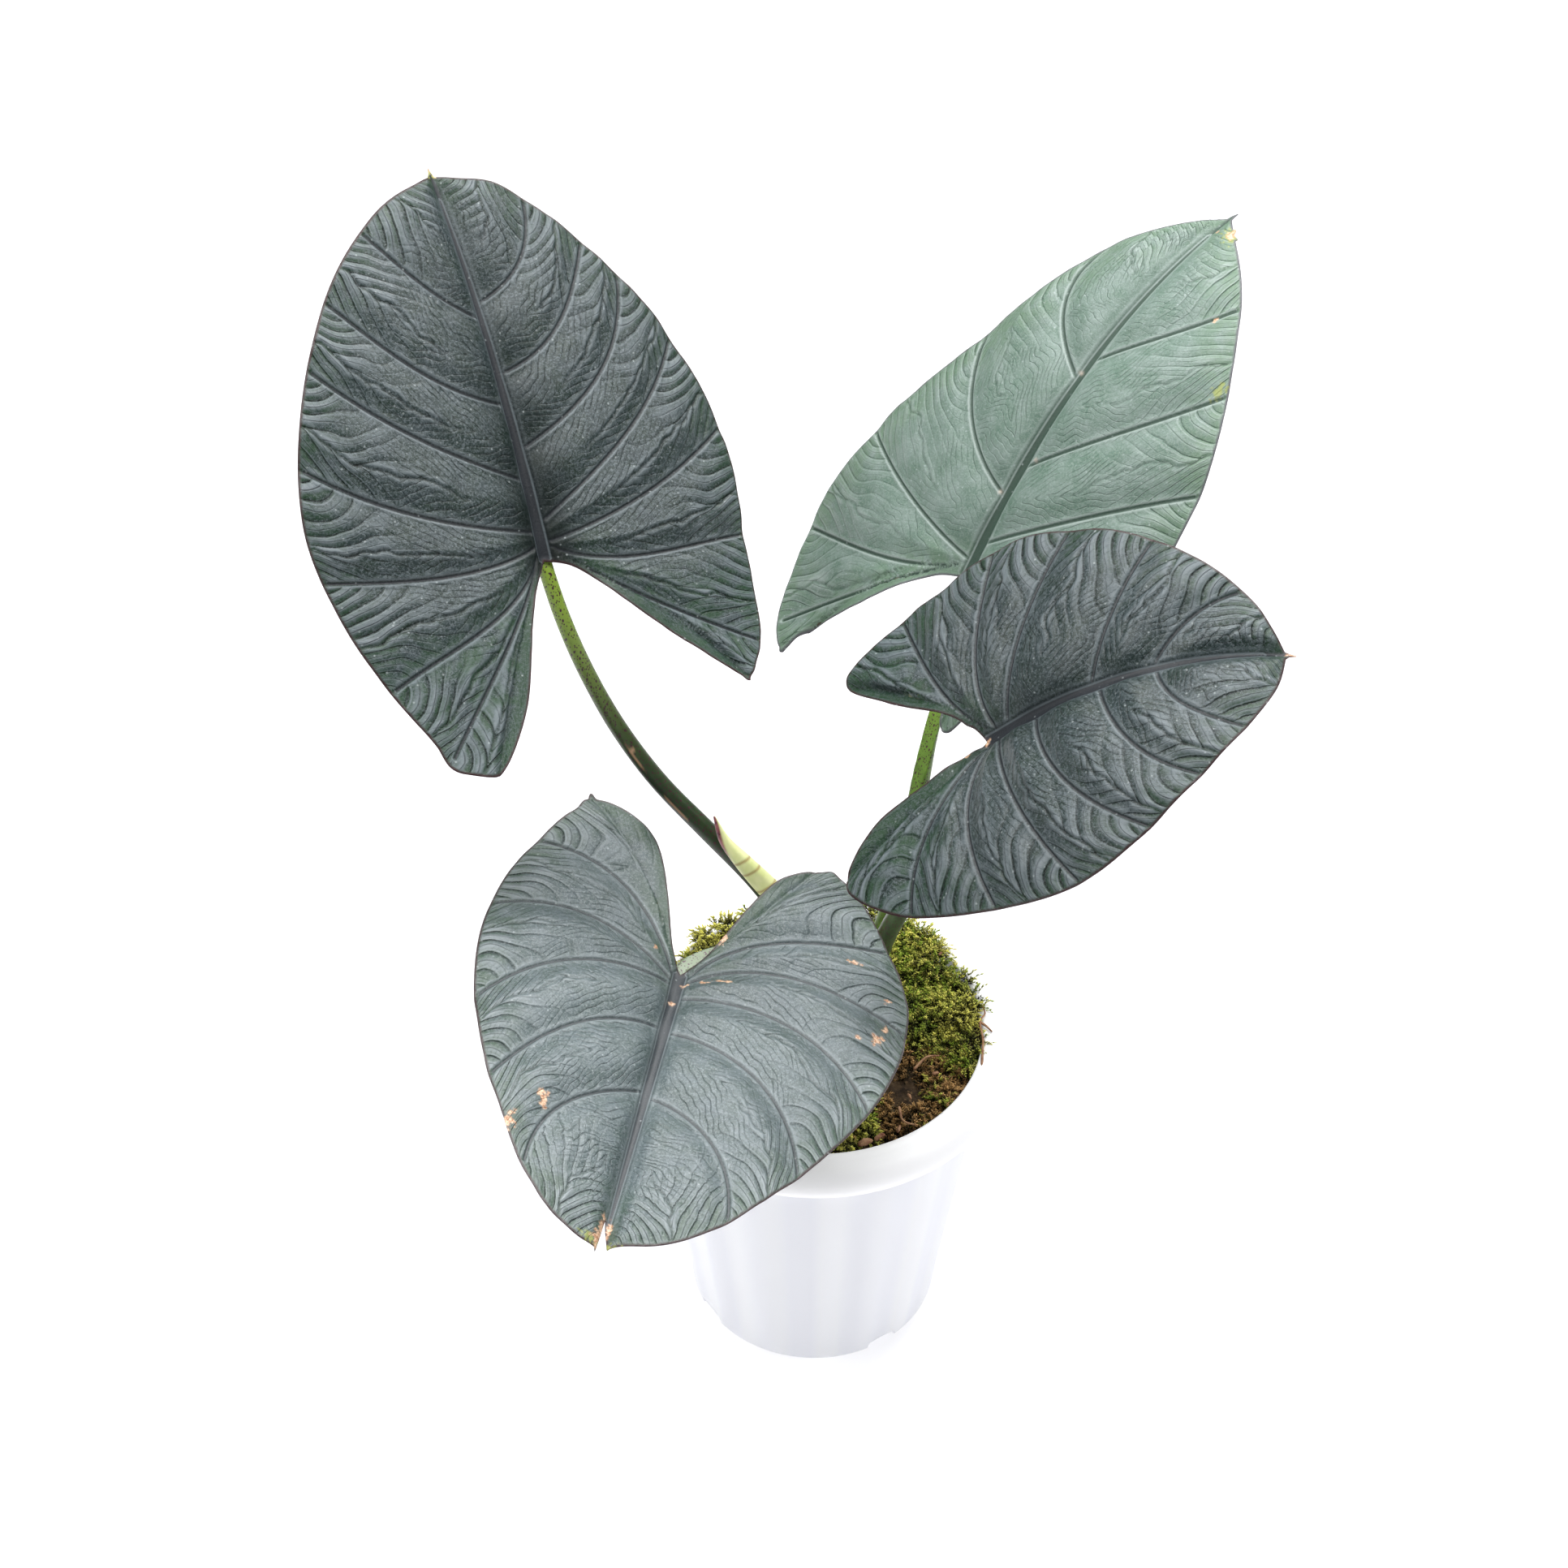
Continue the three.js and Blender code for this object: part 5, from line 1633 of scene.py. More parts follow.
@dataclass
class Sheath:
    """The rolled sheath of the next leaf, with a seam, thin brown rings and a dry tip."""

    route: tuple = (
        (12, 8.5, STALK_FOOT_Z), (9, 6, 155), (-1, 4, 176), (-11.5, 5, 197.5), (-19, 7, 206.4),
        (-26.5, 8.5, 215.9), (-33.2, 11, 224.3), (-36.8, 13, 233.9),
    )
    radius: float = 4.4
    tip_radius: float = 0.35
    sides: int = 40
    rings: tuple[float, ...] = (0.575, 0.70, 0.775, 0.82)

    def build(self, effects: Effects) -> bpy.types.Object:
        """Builds the sheath.

        Args:
            effects: The shared effects.

        Returns:
            The sheath.
        """
        line = even_spline(np.array(self.route), 0.45)
        share = np.linspace(0.0, 1.0, len(line))
        narrow = np.clip((share - 0.5) / 0.5, 0.0, 1.0) ** 2.6
        radii = self.radius - (self.radius - self.tip_radius) * narrow
        angles = once_round(self.sides)
        wrap = 1 - 0.10 * (angles / (2 * math.pi))
        flute = 1 + 0.02 * np.cos(5 * angles)
        ring = radii[:, None] * (wrap * flute)[None, :] * (1 + 0.05 * np.cos(2 * angles))[None, :]
        points, triangles = tube(line, ring, self.sides)
        points[: self.sides, 2] = STALK_FOOT_Z
        sheath = add_piece("new_leaf_sheath_fine", points, triangles, "sheath_skin")
        height = np.concatenate([np.repeat(share, self.sides), [0.0, 1.0]])
        angle = np.concatenate([np.tile(angles, len(line)), [0.0, 0.0]])
        mark = np.zeros(len(points))
        for place in self.rings:
            bent = height - place - 0.006 * np.cos(angle - 1.0)
            mark = np.maximum(mark, hump(bent, 0.0042))
        dry = smoothstep(0.90, 0.95, height + 0.085 * np.cos(angle - 0.1))
        seam = hump(np.minimum(angle, 2 * math.pi - angle), 0.14)
        tone = columns(mark, dry, seam * 0.6, 1.0)
        paint(sheath, "sheath_tone", tone)
        sheath.data.materials.append(self.finish(effects))
        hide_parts("new_leaf_sheath")
        return sheath

    @staticmethod
    def finish(effects: Effects) -> bpy.types.Material:
        """The sheath's skin.

        Args:
            effects: The shared effects.

        Returns:
            The material.
        """
        finish = Finish("sheath_skin", 0.42)
        nodes = finish.nodes
        mark, dry, seam, _ = finish.read("sheath_tone")
        ground = finish.mottled(effects, (0.80, 0.82, 0.42), (0.68, 0.74, 0.30), 220.0)
        colour = nodes.blend(seam, ground, (0.72, 0.70, 0.42))
        colour = nodes.blend(nodes.sum("MULTIPLY", mark, 0.85), colour, (0.33, 0.20, 0.05))
        papery = finish.mottled(effects, (0.085, 0.010, 0.025), (0.42, 0.13, 0.14), 600.0)
        finish.feed("Base Color", nodes.blend(dry, colour, papery))
        finish.grainy(effects, 700.0, 0.3, 0.1)
        return finish.material


# What fills the pot


@dataclass
class Bed:
    """The potting mix: its top follows the mound round the crown."""

    wall_radius: float = 63.05
    wall_z: float = 131.5
    crown_rise: float = 3.5
    seed: int = 5
    rings: int = 60
    sectors: int = 240
    plug: tuple = ((63.0, 122.0), (56.6, 70.0), (48.1, 9.0), (46.8, 7.2))

    def height(self, x: Points, y: Points) -> Points:
        """The height of the mix's top.

        Args:
            x: First coordinate.
            y: Second coordinate.

        Returns:
            The height in millimetres.
        """
        reach = np.hypot(x - CROWN[0], y - CROWN[1]) / 30
        lumps = 0.7 * np.sin(x * 0.21 + 1) * np.cos(y * 0.17) + 0.5 * np.sin(y * 0.33 + x * 0.11)
        inside = 1 - smoothstep(50, 62, np.hypot(x, y))
        return self.wall_z + self.crown_rise * np.exp(-(reach**2)) + lumps * inside

    def build(self, effects: Effects) -> None:
        """Builds the mix with crumbs pressed into its top, and pale specks in its colour.

        Args:
            effects: The shared effects.
        """
        noise = SoftNoise(self.seed)
        rings, sectors = self.rings, self.sectors
        radius = self.wall_radius * np.sqrt(np.linspace(0.0, 1.0, rings + 1))[1:] ** 1.15
        angle = once_round(sectors)
        x = (radius[:, None] * np.cos(angle)[None, :]).ravel()
        y = (radius[:, None] * np.sin(angle)[None, :]).ravel()
        crumb = noise.at(x / 3.1, y / 3.1) * 1.3 + np.abs(noise.at(x / 1.5, y / 1.5)) * 1.7
        edge = np.hypot(x, y)
        z = self.height(x, y) + (crumb - 0.5) * smoothstep(0.0, 3.0, self.wall_radius - edge)
        top = columns(x, y, z - 0.2)
        sides = [
            columns(r * np.cos(angle), r * np.sin(angle), h) for r, h in self.plug
        ]
        points = np.vstack([top, *sides, [(0, 0, self.height(0.0, 0.0))], [(0, 0, self.plug[-1][1])]])
        k = np.arange(sectors)
        after = (k + 1) % sectors
        triangles = []
        for ring in range(rings - 1 + len(self.plug)):
            a, b = ring * sectors + k, ring * sectors + after
            c, d = a + sectors, b + sectors
            triangles += [columns(a, c, b), columns(b, c, d)]
        top_centre, foot_centre = len(points) - 2, len(points) - 1
        last = (rings - 1 + len(self.plug)) * sectors
        triangles.append(columns(top_centre, k, after))
        triangles.append(columns(foot_centre, last + after, last + k))
        soil = add_piece("soil_fine", points, np.vstack(triangles), "potting_mix")
        soil.data.materials.append(self.finish(effects))
        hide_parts("soil")

    @staticmethod
    def finish(effects: Effects) -> bpy.types.Material:
        """Dark crumbly mix.

        Args:
            effects: The shared effects.

        Returns:
            The material.
        """
        finish = Finish("potting_mix", 0.95, 0.2)
        nodes = finish.nodes
        dark = finish.mottled(effects, (0.020, 0.013, 0.008), (0.085, 0.055, 0.030), 420.0)
        bits = finish.effect(effects.speckle, Cells=500.0, Size=0.3)
        finish.feed("Base Color", nodes.blend(nodes.sum("MULTIPLY", bits, 0.6), dark, (0.19, 0.12, 0.06)))
        grain = finish.effect(effects.grain, Cells=900.0, Roughness=0.7)
        finish.feed("Normal", finish.bump(grain, 0.9, 0.7))
        return finish.material


@dataclass
class Shoots:
    """Feathery moss shoots: each a run of small pointed leaves along a bent line, all joined."""

    name: str
    count: int
    reach: tuple[float, float]
    shares: tuple[float, float]
    depth: float
    length: tuple[float, float]
    green: float
    seed: int
    stands_for: str | None = None
    leaves: int = 16
    tuft: int = 24
    leaf: float = 1.9
    bank: float = 2.5
    fresh: tuple[float, float] = (0.1, 1.0)

    def spots(self, bed: Bed, draw: np.random.Generator) -> dict[str, Points]:
        """Where the shoots stand, how they lean and how fresh they are.

        Args:
            bed: The mix that they stand on.
            draw: The patch's own random numbers.

        Returns:
            The roots, heading, lean and freshness of each shoot, its green share, and the painted shade
            towards its tuft's edge, by name.
        """
        low, high = self.reach
        tufts = max(self.count // self.tuft, 1)
        angle = np.radians(draw.uniform(low, high, tufts))
        share = np.sqrt(draw.uniform(self.shares[0] ** 2, self.shares[1] ** 2, tufts))
        along = CROWN[0] * np.cos(angle) + CROWN[1] * np.sin(angle)
        spare = (bed.wall_radius - 2.5) ** 2 - CROWN[0] ** 2 - CROWN[1] ** 2
        limit = -along + np.sqrt(along**2 + spare)
        distance = STALK_CLEARANCE + (limit - STALK_CLEARANCE) * share
        edge_a = np.minimum(angle - math.radians(low), math.radians(high) - angle) * distance
        edge_s = np.minimum(share - self.shares[0], 1.05 - share) * (limit - STALK_CLEARANCE)
        swell = smoothstep(-2.0, 11.0, np.minimum(edge_a, edge_s + 7.0))
        rise = self.depth * (0.25 + 0.75 * swell) * draw.uniform(0.58, 1.1, tufts)
        rise += self.bank * smoothstep(0.6, 1.0, share)
        radius = draw.uniform(2.4, 4.4, tufts)
        fresh = draw.uniform(*self.fresh, tufts)
        green = (draw.uniform(0.0, 1.0, tufts) < self.green).astype(float)
        pick = np.arange(self.count) % tufts
        turn = draw.uniform(0.0, 2 * math.pi, self.count)
        out = np.sqrt(draw.uniform(0.0, 1.0, self.count))
        x = CROWN[0] + (distance * np.cos(angle))[pick] + out * radius[pick] * np.cos(turn)
        y = CROWN[1] + (distance * np.sin(angle))[pick] + out * radius[pick] * np.sin(turn)
        inset = np.minimum(1.0, (bed.wall_radius - 1.6) / np.hypot(x, y))
        x, y = x * inset, y * inset
        z = bed.height(x, y) + rise[pick] - 0.8 * radius[pick] * out**2 - 2.5
        return {
            "root": columns(x, y, z),
            "turn": turn + draw.normal(0.0, 0.35, self.count),
            "lean": 0.15 + 1.05 * out + draw.uniform(-0.15, 0.3, self.count),
            "fresh": fresh[pick] + draw.normal(0.0, 0.15, self.count),
            "green": green[pick],
            "skirt_shade": 1.0 - 0.35 * out**2,
        }

    def build(self, bed: Bed, material: bpy.types.Material) -> bpy.types.Object:
        """Builds the patch.

        Args:
            bed: The mix that it stands on.
            material: The moss's material.

        Returns:
            The patch.
        """
        draw = np.random.default_rng(self.seed)
        spots = self.spots(bed, draw)
        roots, turns, lean = spots["root"], spots["turn"], spots["lean"]
        heading = columns(np.cos(turns), np.sin(turns), 0.0)
        up = np.array([0.0, 0.0, 1.0])
        length = draw.uniform(*self.length, self.count)
        points, triangles, paints = [], [], []
        base = 0
        for spiral, step in enumerate(np.linspace(0.0, 1.0, self.leaves)):
            bend = lean[:, None] * (0.45 + 0.75 * step)
            axis = up * np.cos(bend) + heading * np.sin(bend)
            foot = roots + axis * (length * (0.10 + 0.90 * step))[:, None]
            side = np.cross(axis, heading + 0.01)
            side /= np.linalg.norm(side, axis=1)[:, None]
            back = np.cross(axis, side)
            turn = spiral * LEAF_SPIRAL + draw.uniform(0, 0.8, self.count)
            out = side * np.cos(turn)[:, None] + back * np.sin(turn)[:, None]
            spread = 1.05 - 0.65 * step
            size = self.leaf * (1.0 - 0.35 * step) * draw.uniform(0.75, 1.25, self.count)
            aim = out * np.sin(spread) + axis * np.cos(spread)
            wide = np.cross(aim, axis)
            wide /= np.linalg.norm(wide, axis=1)[:, None]
            thick = np.cross(wide, aim)
            tip = foot + aim * size[:, None]
            waist = foot + aim * (size * 0.4)[:, None]
            left = waist + wide * (size * 0.24)[:, None] + thick * 0.1
            right = waist - wide * (size * 0.24)[:, None] + thick * 0.1
            block = columns(foot, tip, left, right).reshape(-1, 3)
            points.append(block)
            ids = np.arange(self.count)[:, None, None] * 4 + LEAF_FACES[None] + base
            triangles.append(ids.reshape(-1, 3))
            base += 4 * self.count
            fresh = np.repeat(np.clip(spots["fresh"], 0, 1), 4)
            # Painted shade: each shoot darkens towards its foot, and a tuft's outer shoots darken more.
            high = np.full(4 * self.count, 0.72 * step**1.4)
            high[1::4] += 0.28
            high *= np.repeat(spots["skirt_shade"], 4)
            green = np.repeat(spots["green"], 4)
            paints.append(columns(fresh, high, green, 1.0))
        patch = add_piece(self.name, np.vstack(points), np.vstack(triangles), "moss")
        paint(patch, "moss_tone", np.vstack(paints))
        patch.data.materials.append(material)
        if self.stands_for:
            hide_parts(self.stands_for)
        return patch


PATCHES = (
    Shoots(
        "moss_right_shoots", count=2300, reach=(-30, 90), shares=(0.12, 1.0), depth=10.5,
        length=(3.2, 7.0), green=1.0, seed=61, stands_for="moss_right",
    ),
    Shoots(
        "moss_back_left_shoots", count=1150, reach=(120, 190), shares=(0.45, 1.0), depth=16.5,
        length=(3.2, 6.0), green=1.0, seed=62, stands_for="moss_back_left", fresh=(0.5, 1.1),
    ),
    Shoots(
        "moss_front_shoots", count=420, reach=(250, 300), shares=(0.46, 1.0), depth=4.5,
        length=(2.6, 4.6), green=0.9, seed=63, stands_for="moss_front",
    ),
    Shoots(
        "moss_dry_shoots", count=850, reach=(285, 337), shares=(0.1, 1.0), depth=4.0,
        length=(2.4, 4.2), green=0.12, seed=64,
    ),
    Shoots(
        "moss_left_shoots", count=260, reach=(190, 250), shares=(0.3, 1.0), depth=2.5,
        length=(2.4, 4.2), green=0.5, seed=65,
    ),
)


@dataclass(frozen=True)
class MossFinish:
    """Moss from near-black depths, painted shade, to yellow-green tips, or brown where it is dry."""

    # depth_shade: near-black green low on the shoots, painted shade in the moss's depths.
    depth_shade: Colour = (0.012, 0.014, 0.003)
    tip: Colour = (1.0, 0.95, 0.20)
    other_tip: Colour = (0.36, 0.50, 0.05)
    dead: Colour = (0.55, 0.32, 0.12)

    def build(self) -> bpy.types.Material:
        """Makes the material.

        Returns:
            The material.
        """
        finish = Finish("moss", 0.7, 0.3)
        nodes = finish.nodes
        fresh, high, green, _ = finish.read("moss_tone")
        tips = nodes.blend(nodes.ramp(fresh, 0.3, 0.7), self.other_tip, self.tip)
        tips = nodes.blend(green, self.dead, tips)
        finish.feed("Base Color", nodes.blend(nodes.ramp(high, 0.08, 0.66), self.depth_shade, tips))
        return finish.material


@dataclass
class Litter:
    """Twigs and flakes of bark that lie on the moss, the mix and the rim."""

    seed: int = 71
    twig_sides: int = 8
    flake_sides: int = 12
    twigs: tuple = (
        ((60.6, -24.0, 138.6), (61.4, -15.4, 140.1), (62.0, -8.0, 140.5), (61.4, 0.9, 140.9),
         (63.4, 5.0, 140.7), (62.6, 8.8, 141.0)),
        ((61.4, 0.4, 140.8), (63.6, -1.6, 140.7), (65.6, -4.2, 140.5)),
        ((36.0, -20.0, 137.0), (41.0, -15.5, 139.0), (45.5, -14.5, 138.6)),
        ((30.0, -38.0, 136.5), (31.5, -45.5, 137.4), (36.5, -47.0, 136.8)),
    )
    flakes: tuple = (
        (17.3, -55.0, 136.4, 25.0, 6.0), (22.5, -52.4, 136.6, 40.0, 4.6), (29.5, -48.6, 136.6, 75.0, 3.6),
        (24.0, 20.0, 143.0, 150.0, 6.5), (34.0, -33.0, 136.6, 110.0, 3.0), (44.0, -22.0, 137.0, 20.0, 3.0),
        (47.5, 31.0, 146.0, 60.0, 2.2), (-38.0, -38.0, 135.0, 70.0, 5.0),
    )

    def build(self, effects: Effects) -> None:
        """Builds the bits as one piece.

        Args:
            effects: The shared effects.
        """
        noise = SoftNoise(self.seed)
        parts = []
        for number, twig in enumerate(self.twigs):
            line = even_spline(np.array(twig), 0.5)
            share = np.linspace(0.0, 1.0, len(line))
            radii = (0.55 - 0.25 * share) * (1 + 0.3 * noise.at(share * 9.0, number))
            parts.append(tube(line, radii, self.twig_sides))
        turns = once_round(self.flake_sides)
        for number, (x, y, z, heading, size) in enumerate(self.flakes):
            run = np.linspace(-0.5, 0.5, 11)
            turn = math.radians(heading)
            bow = 0.12 * size * np.cos(run * 3.0)
            line = columns(x + run * size * math.cos(turn), y + run * size * math.sin(turn), z + bow)
            wide = 0.24 * size * (1 - (2 * run) ** 4 * 0.8) * (1 + 0.5 * noise.at(run * 6.0, number + 0.5))
            ring = wide[:, None] * (0.35 + 0.65 * np.abs(np.cos(turns - 1.5708)))[None, :]
            parts.append(tube(line, ring, self.flake_sides))
        bits = add_piece("loose_bits", *join_meshes(parts), "potting_mix")
        finish = Finish("bark", 0.85, 0.3)
        skin = finish.mottled(effects, (0.16, 0.055, 0.030), (0.50, 0.30, 0.17), 380.0)
        finish.feed("Base Color", skin)
        finish.grainy(effects, 900.0, 0.8, 0.3)
        bits.data.materials.append(finish.material)


# The pot


@dataclass
class Pot:
    """A moulded pot: rolled rim, shallow flutes, raised floor, drain holes and foot notches."""

    rim_radius: float = 75.0
    height: float = 140.0
    foot_radius: float = 48.8
    body_top: float = 65.0
    lip_z: float = 124.8
    wall: float = 1.6
    foot_width: float = 2.4
    floor_under: float = 5.2
    floor_top: float = 6.8
    mouth: float = 63.4
    flutes: int = 16
    flute_depth: float = 0.9
    notch_angle: float = -57.0
    notch_half: float = 6.5
    notch_height: float = 4.6
    drain_radius: float = 4.0
    drain_circle: float = 32.0
    drain_sides: int = 32
    sectors: int = 256

    def quarters(self) -> list[float]:
        """The four directions of the notches and the outer drain holes.

        Returns:
            Angles in radians.
        """
        return [math.radians(self.notch_angle + 90 * k) for k in range(4)]

    def angles(self) -> Points:
        """Sectors round the pot, closer together at the notches' sides.

        Returns:
            The angles in radians, in rising order.
        """
        even = once_round(self.sectors)
        offsets = np.array([-6.6, -6.5, -6.2, -5.6, -4.6, 4.6, 5.6, 6.2, 6.5, 6.6]) / self.foot_radius
        extra = [(turn + offsets) % (2 * math.pi) for turn in self.quarters()]
        return np.unique(np.round(np.concatenate([even, *extra]), 5))

    def inner(self, z: float) -> float:
        """Radius of the inner wall.

        Args:
            z: Height.

        Returns:
            The radius.
        """
        slope = (self.body_top - self.foot_radius) / self.lip_z
        return min(self.foot_radius + slope * z - self.wall, self.body_top - self.wall - 0.2)

    def profile(self) -> list[tuple[float, float, float]]:
        """The section as radius, height and share of the flutes' depth.

        Returns:
            The section's corners, from inside the foot and round to the floor's middle.
        """
        slope = (self.body_top - self.foot_radius) / self.lip_z
        rim = self.rim_radius
        rows = [(self.foot_radius - self.foot_width, 0.0, 0.0), (self.foot_radius - 0.3, 0.0, 0.0)]
        rows.append((self.foot_radius, 0.35, 0.0))
        for z in (2.0, 4.0, 6.5, 9.0, 12.0, 40.0, 80.0, 108.0, 114.0, 119.0, 123.5):
            fluted = float(smoothstep(4.0, 11.0, z) * (1 - smoothstep(111.0, 120.0, z)))
            rows.append((self.foot_radius + slope * z, z, fluted))
        rows += [(self.body_top, self.lip_z, 0.0), (self.body_top + 0.4, self.lip_z, 0.0)]
        rows += [(rim - 4.6, self.lip_z, 0.0), (rim - 4.2, self.lip_z + 0.25, 0.0)]
        rows += [(rim - 3.6, 126.0, 0.0), (rim - 2.0, 127.3, 0.0)]
        roll = [(3.5, 126.0), (0.9, 128.8), (0.0, 132.0), (1.0, 135.1), (4.0, 138.4), (9.0, 140.0)]
        corners = np.array([(rim - r, z) for r, z in roll])
        curve = along_spline(corners, np.linspace(0.75, 5.0, 26))
        rows += [(float(r), float(z), 0.0) for r, z in curve]
        lip = self.mouth - 1.2
        rows += [(lip + 0.9, 139.6, 0.0), (lip + 0.2, 139.1, 0.0)]
        rows += [(lip, 138.4, 0.0), (lip + 0.3, 136.8, 0.0)]
        for z in (135.0, self.lip_z, 100.0, 70.0, 40.0, self.floor_top + 2):
            rows.append((self.inner(z) if z <= self.lip_z else self.mouth, z, 0.0))
        rows += [(self.inner(self.floor_top) - 1.2, self.floor_top, 0.0)]
        rows += [(r, self.floor_top, 0.0) for r in (40.0, 20.0, 4.0)]
        rows += [(r, self.floor_under, 0.0) for r in (4.0, 20.0, 40.0)]
        rows += [(self.foot_radius - self.foot_width, self.floor_under, 0.0)]
        return rows

    def build(self, effects: Effects) -> bpy.types.Object:
        """Builds the pot and cuts its drain holes.

        Args:
            effects: The shared effects.

        Returns:
            The pot.
        """
        angles = self.angles()
        rows = self.profile()
        sides = len(angles)
        arc = np.full(sides, FAR)
        for turn in self.quarters():
            arc = np.minimum(arc, angle_gap(angles, turn) * self.foot_radius)
        arch = self.notch_height * np.sqrt(np.clip(1 - (arc / self.notch_half) ** 2, 0, 1)) ** 0.6
        arch[arc > self.notch_half] = 0.0
        rings = []
        for radius, z, fluted in rows:
            flute = self.flute_depth * fluted * (1 - np.cos(self.flutes * angles)) / 2
            reach = radius - flute
            height = np.full(sides, z)
            if z < self.notch_height and radius > 40:
                height = np.maximum(height, arch + z * 0.02)
            rings.append(columns(reach * np.cos(angles), reach * np.sin(angles), height))
        points = np.vstack(rings)
        k = np.arange(sides)
        after = (k + 1) % sides
        triangles = []
        for row in range(len(rows)):
            a, b = row * sides + k, row * sides + after
            above = ((row + 1) % len(rows)) * sides
            triangles += [columns(a, b, above + after), columns(a, above + after, above + k)]
        pot = add_piece("pot_fine", points, np.vstack(triangles), "pot_plastic")
        self.drain(pot)
        pot.data.materials.clear()
        pot.data.materials.append(self.finish(effects))
        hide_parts("pot")
        return pot

    def drain(self, pot: bpy.types.Object) -> None:
        """Cuts the four outer drain holes.

        Args:
            pot: The pot.
        """
        holes = []
        for turn in self.quarters():
            centre = np.array([self.drain_circle * math.cos(turn), self.drain_circle * math.sin(turn), 0])
            line = centre + np.array([(0, 0, self.floor_under - 2), (0, 0, self.floor_top + 2)])
            holes.append(tube(line, np.full(2, self.drain_radius), self.drain_sides))
        cutter = add_piece("drain_cutter", *join_meshes(holes), "pot_plastic")
        cut = pot.modifiers.new("drain", "BOOLEAN")
        cut.operation = "DIFFERENCE"
        cut.solver = "EXACT"
        cut.object = cutter
        graph = bpy.context.evaluated_depsgraph_get()
        made = bpy.data.meshes.new_from_object(pot.evaluated_get(graph))
        pot.modifiers.clear()
        pot.data = made
        bpy.data.objects.remove(cutter)

    @staticmethod
    def finish(effects: Effects) -> bpy.types.Material:
        """White moulded plastic, with faint vertical bands of painted shade, a whiter rim and a faint
        painted glow, stronger on the rim.

        Args:
            effects: The shared effects.

        Returns:
            The material.
        """
        finish = Finish("pot_plastic", 0.38, 0.4)
        # Painted light: the pot glows faintly, the rim more than the body.
        finish.feed("Emission Strength", 1.0)
        nodes = finish.nodes
        place = nodes.add("ShaderNodeTexCoord").outputs["Object"]
        spot = nodes.add("ShaderNodeSeparateXYZ", {0: place}).outputs
        height = spot["Z"]
        across = nodes.sum("SUBTRACT", spot["X"], POT_AXIS[0] * MM)
        forward = nodes.sum("SUBTRACT", spot["Y"], POT_AXIS[1] * MM)
        # Painted shade: faint bluish vertical bands round the body, standing for the flutes' shading.
        angle = nodes.sum("ARCTAN2", across, forward)
        wide = nodes.sum("SINE", nodes.sum("MULTIPLY", angle, 11.0))
        narrow = nodes.sum("SINE", nodes.sum("MULTIPLY", angle, 19.0))
        flutes = nodes.ramp(nodes.sum("ADD", wide, narrow), -1.0, 1.2)
        shaded_bands = nodes.blend(flutes, (0.875, 0.885, 0.93), (0.94, 0.95, 0.975))
        # The rim is whiter than the body: its thicker plastic, and painted light.
        rim = nodes.ramp(height, 0.1235, 0.1265)
        white = nodes.blend(rim, shaded_bands, (0.95, 0.95, 0.955))
        # Painted glow, brighter on the rim than on the body.
        finish.feed("Emission Color", nodes.blend(rim, (0.05, 0.05, 0.055), (0.18, 0.18, 0.19)))
        dirt = finish.effect(effects.speckle, Cells=70.0, Size=0.035)
        finish.feed("Base Color", nodes.blend(nodes.sum("MULTIPLY", dirt, 0.5), white, (0.35, 0.30, 0.22)))
        finish.grainy(effects, 500.0, 0.12, 0.1)
        return finish.material


# The studio


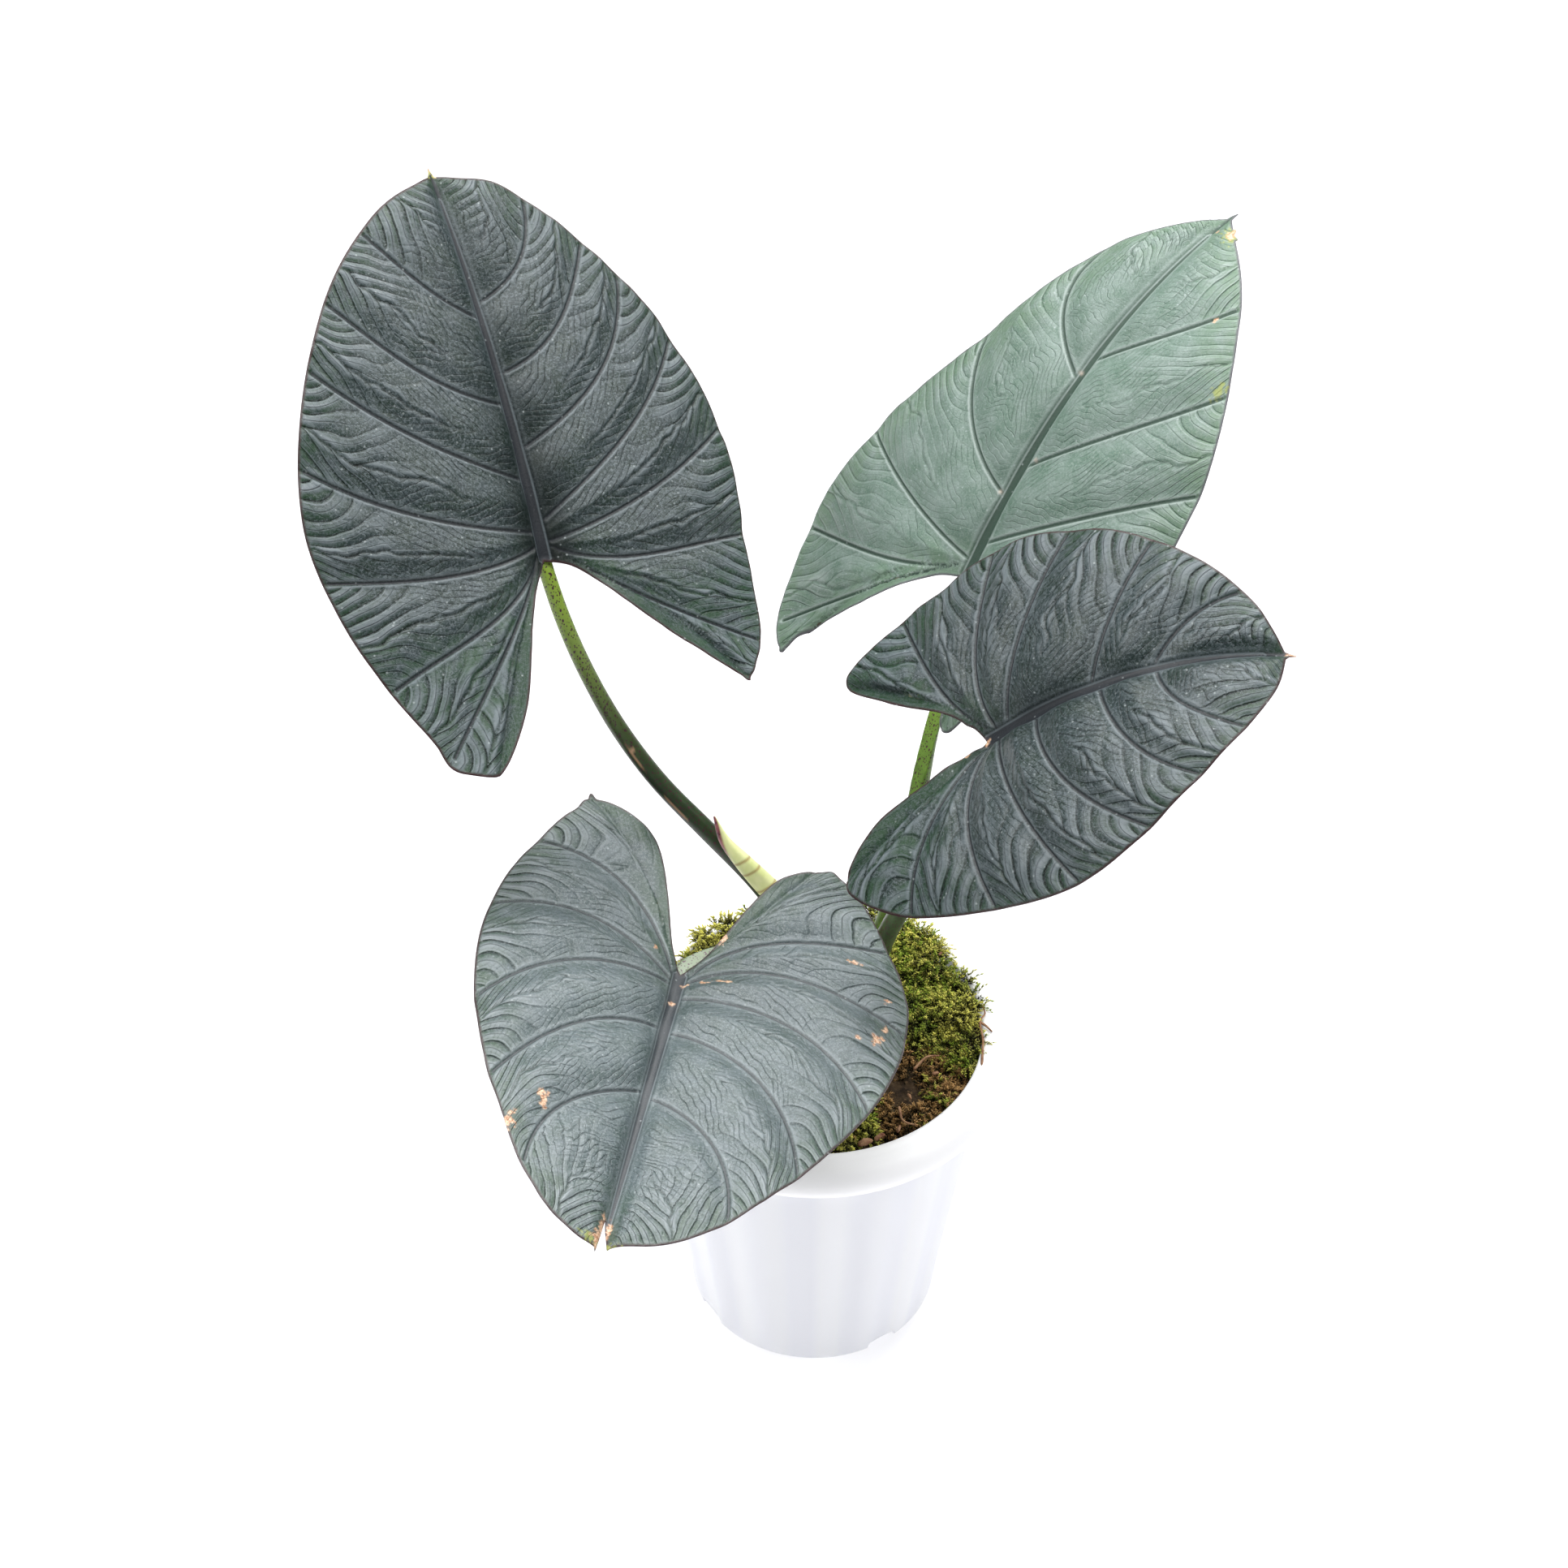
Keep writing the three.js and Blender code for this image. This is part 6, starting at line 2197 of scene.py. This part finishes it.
@dataclass
class Studio:
    """The camera at the photograph's angle, a pale floor and soft lights."""

    camera_mm: tuple[float, float, float] = (-12.0, -728.0, 919.0)
    tilt_deg: float = 47.9
    lens: float = 65.2
    floor_size: float = 6.0
    lights: tuple = (
        ("overhead", (0.0, -0.05, 1.9), (0.0, 0.0, 0.2), (0.8, 0.8), 18.0),
        ("back_right", (0.62, 0.86, 1.36), (-0.03, -0.08, 0.26), (0.50, 0.40), 13.5),
        ("back_left", (-0.14, 0.98, 1.56), (0.06, 0.03, 0.34), (0.50, 0.35), 10.0),
        ("left_front", (-1.05, -0.36, 1.50), (0.0, 0.1, 0.3), (0.7, 0.6), 11.0),
        ("upper_left", (-0.78, 0.20, 1.55), (0.05, 0.0, 0.3), (0.45, 0.45), 6.0),
        ("right_front", (1.11, -0.26, 1.50), (-0.1, 0.05, 0.35), (0.5, 0.5), 9.0),
    )

    def camera(self) -> None:
        """Makes the camera."""
        data = bpy.data.cameras.new("camera")
        data.lens = self.lens
        data.sensor_width = 36.0
        data.clip_start = 0.05
        camera = bpy.data.objects.new("camera", data)
        camera.location = (np.array(self.camera_mm) + POT_AXIS) * MM
        camera.rotation_euler = (math.radians(self.tilt_deg), 0.0, 0.0)
        bpy.context.scene.collection.objects.link(camera)
        bpy.context.scene.camera = camera

    def floor(self) -> None:
        """Makes the floor."""
        half = self.floor_size / 2
        mesh = bpy.data.meshes.new("floor")
        corners = [(-half, -half, 0), (half, -half, 0), (half, half, 0), (-half, half, 0)]
        mesh.from_pydata(corners, [], [(0, 1, 2, 3)])
        floor = bpy.data.objects.new("floor", mesh)
        bpy.context.scene.collection.objects.link(floor)
        finish = Finish("floor", 0.6, 0.2)
        finish.feed("Base Color", (0.50, 0.50, 0.51))
        finish.feed("Emission Color", (0.98, 0.98, 1.0))
        finish.feed("Emission Strength", 0.57)
        mesh.materials.append(finish.material)

    def light(self, name: str, place: tuple, aim: tuple, size: tuple, power: float) -> None:
        """Makes a soft box.

        Args:
            name: The lamp's name.
            place: Where it hangs, in metres.
            aim: The point that it faces.
            size: Its width and height in metres.
            power: Its power in watts.
        """
        data = bpy.data.lights.new(name, "AREA")
        data.shape = "RECTANGLE"
        data.size, data.size_y = size
        data.energy = power
        lamp = bpy.data.objects.new(name, data)
        lamp.location = place
        lamp.rotation_euler = (Vector(aim) - Vector(place)).to_track_quat("-Z", "Y").to_euler()
        bpy.context.scene.collection.objects.link(lamp)

    def build(self) -> None:
        """Makes the whole studio."""
        scene = bpy.context.scene
        scene.view_settings.view_transform = "Standard"
        world = bpy.data.worlds.new("studio")
        world.use_nodes = True
        sky = world.node_tree.nodes["Background"].inputs
        sky["Color"].default_value = (0.97, 0.98, 1.0, 1.0)
        sky["Strength"].default_value = 0.22
        scene.world = world
        self.floor()
        for lamp in self.lights:
            self.light(*lamp)


def dress_short_stem(effects: Effects) -> None:
    """Gives the hidden short stem its brown skin.

    Args:
        effects: The shared effects.
    """
    finish = Finish("short_stem", 0.8, 0.3)
    finish.feed("Base Color", finish.mottled(effects, (0.10, 0.075, 0.04), (0.05, 0.0375, 0.02), 300.0))
    finish.grainy(effects, 700.0, 0.6, 0.4)
    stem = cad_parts["short_stem"]
    stem.data.materials.clear()
    stem.data.materials.append(finish.material)
    log.info("short_stem: kept and dressed")


def main() -> None:
    """Builds the plant piece by piece in its studio."""
    logging.basicConfig(level=logging.INFO, format="%(message)s")
    studio = Studio()
    studio.camera()
    effects = Effects()
    under = UndersideFinish().build(effects)
    for blade in BLADES:
        blade.build(effects, under)
        STALKS[blade.name].build(blade, effects)
    Sheath().build(effects)
    bed = Bed()
    bed.build(effects)
    moss = MossFinish().build()
    for patch in PATCHES:
        patch.build(bed, moss)
    Litter().build(effects)
    Pot().build(effects)
    dress_short_stem(effects)
    studio.build()


if __name__ == "__main__":
    main()
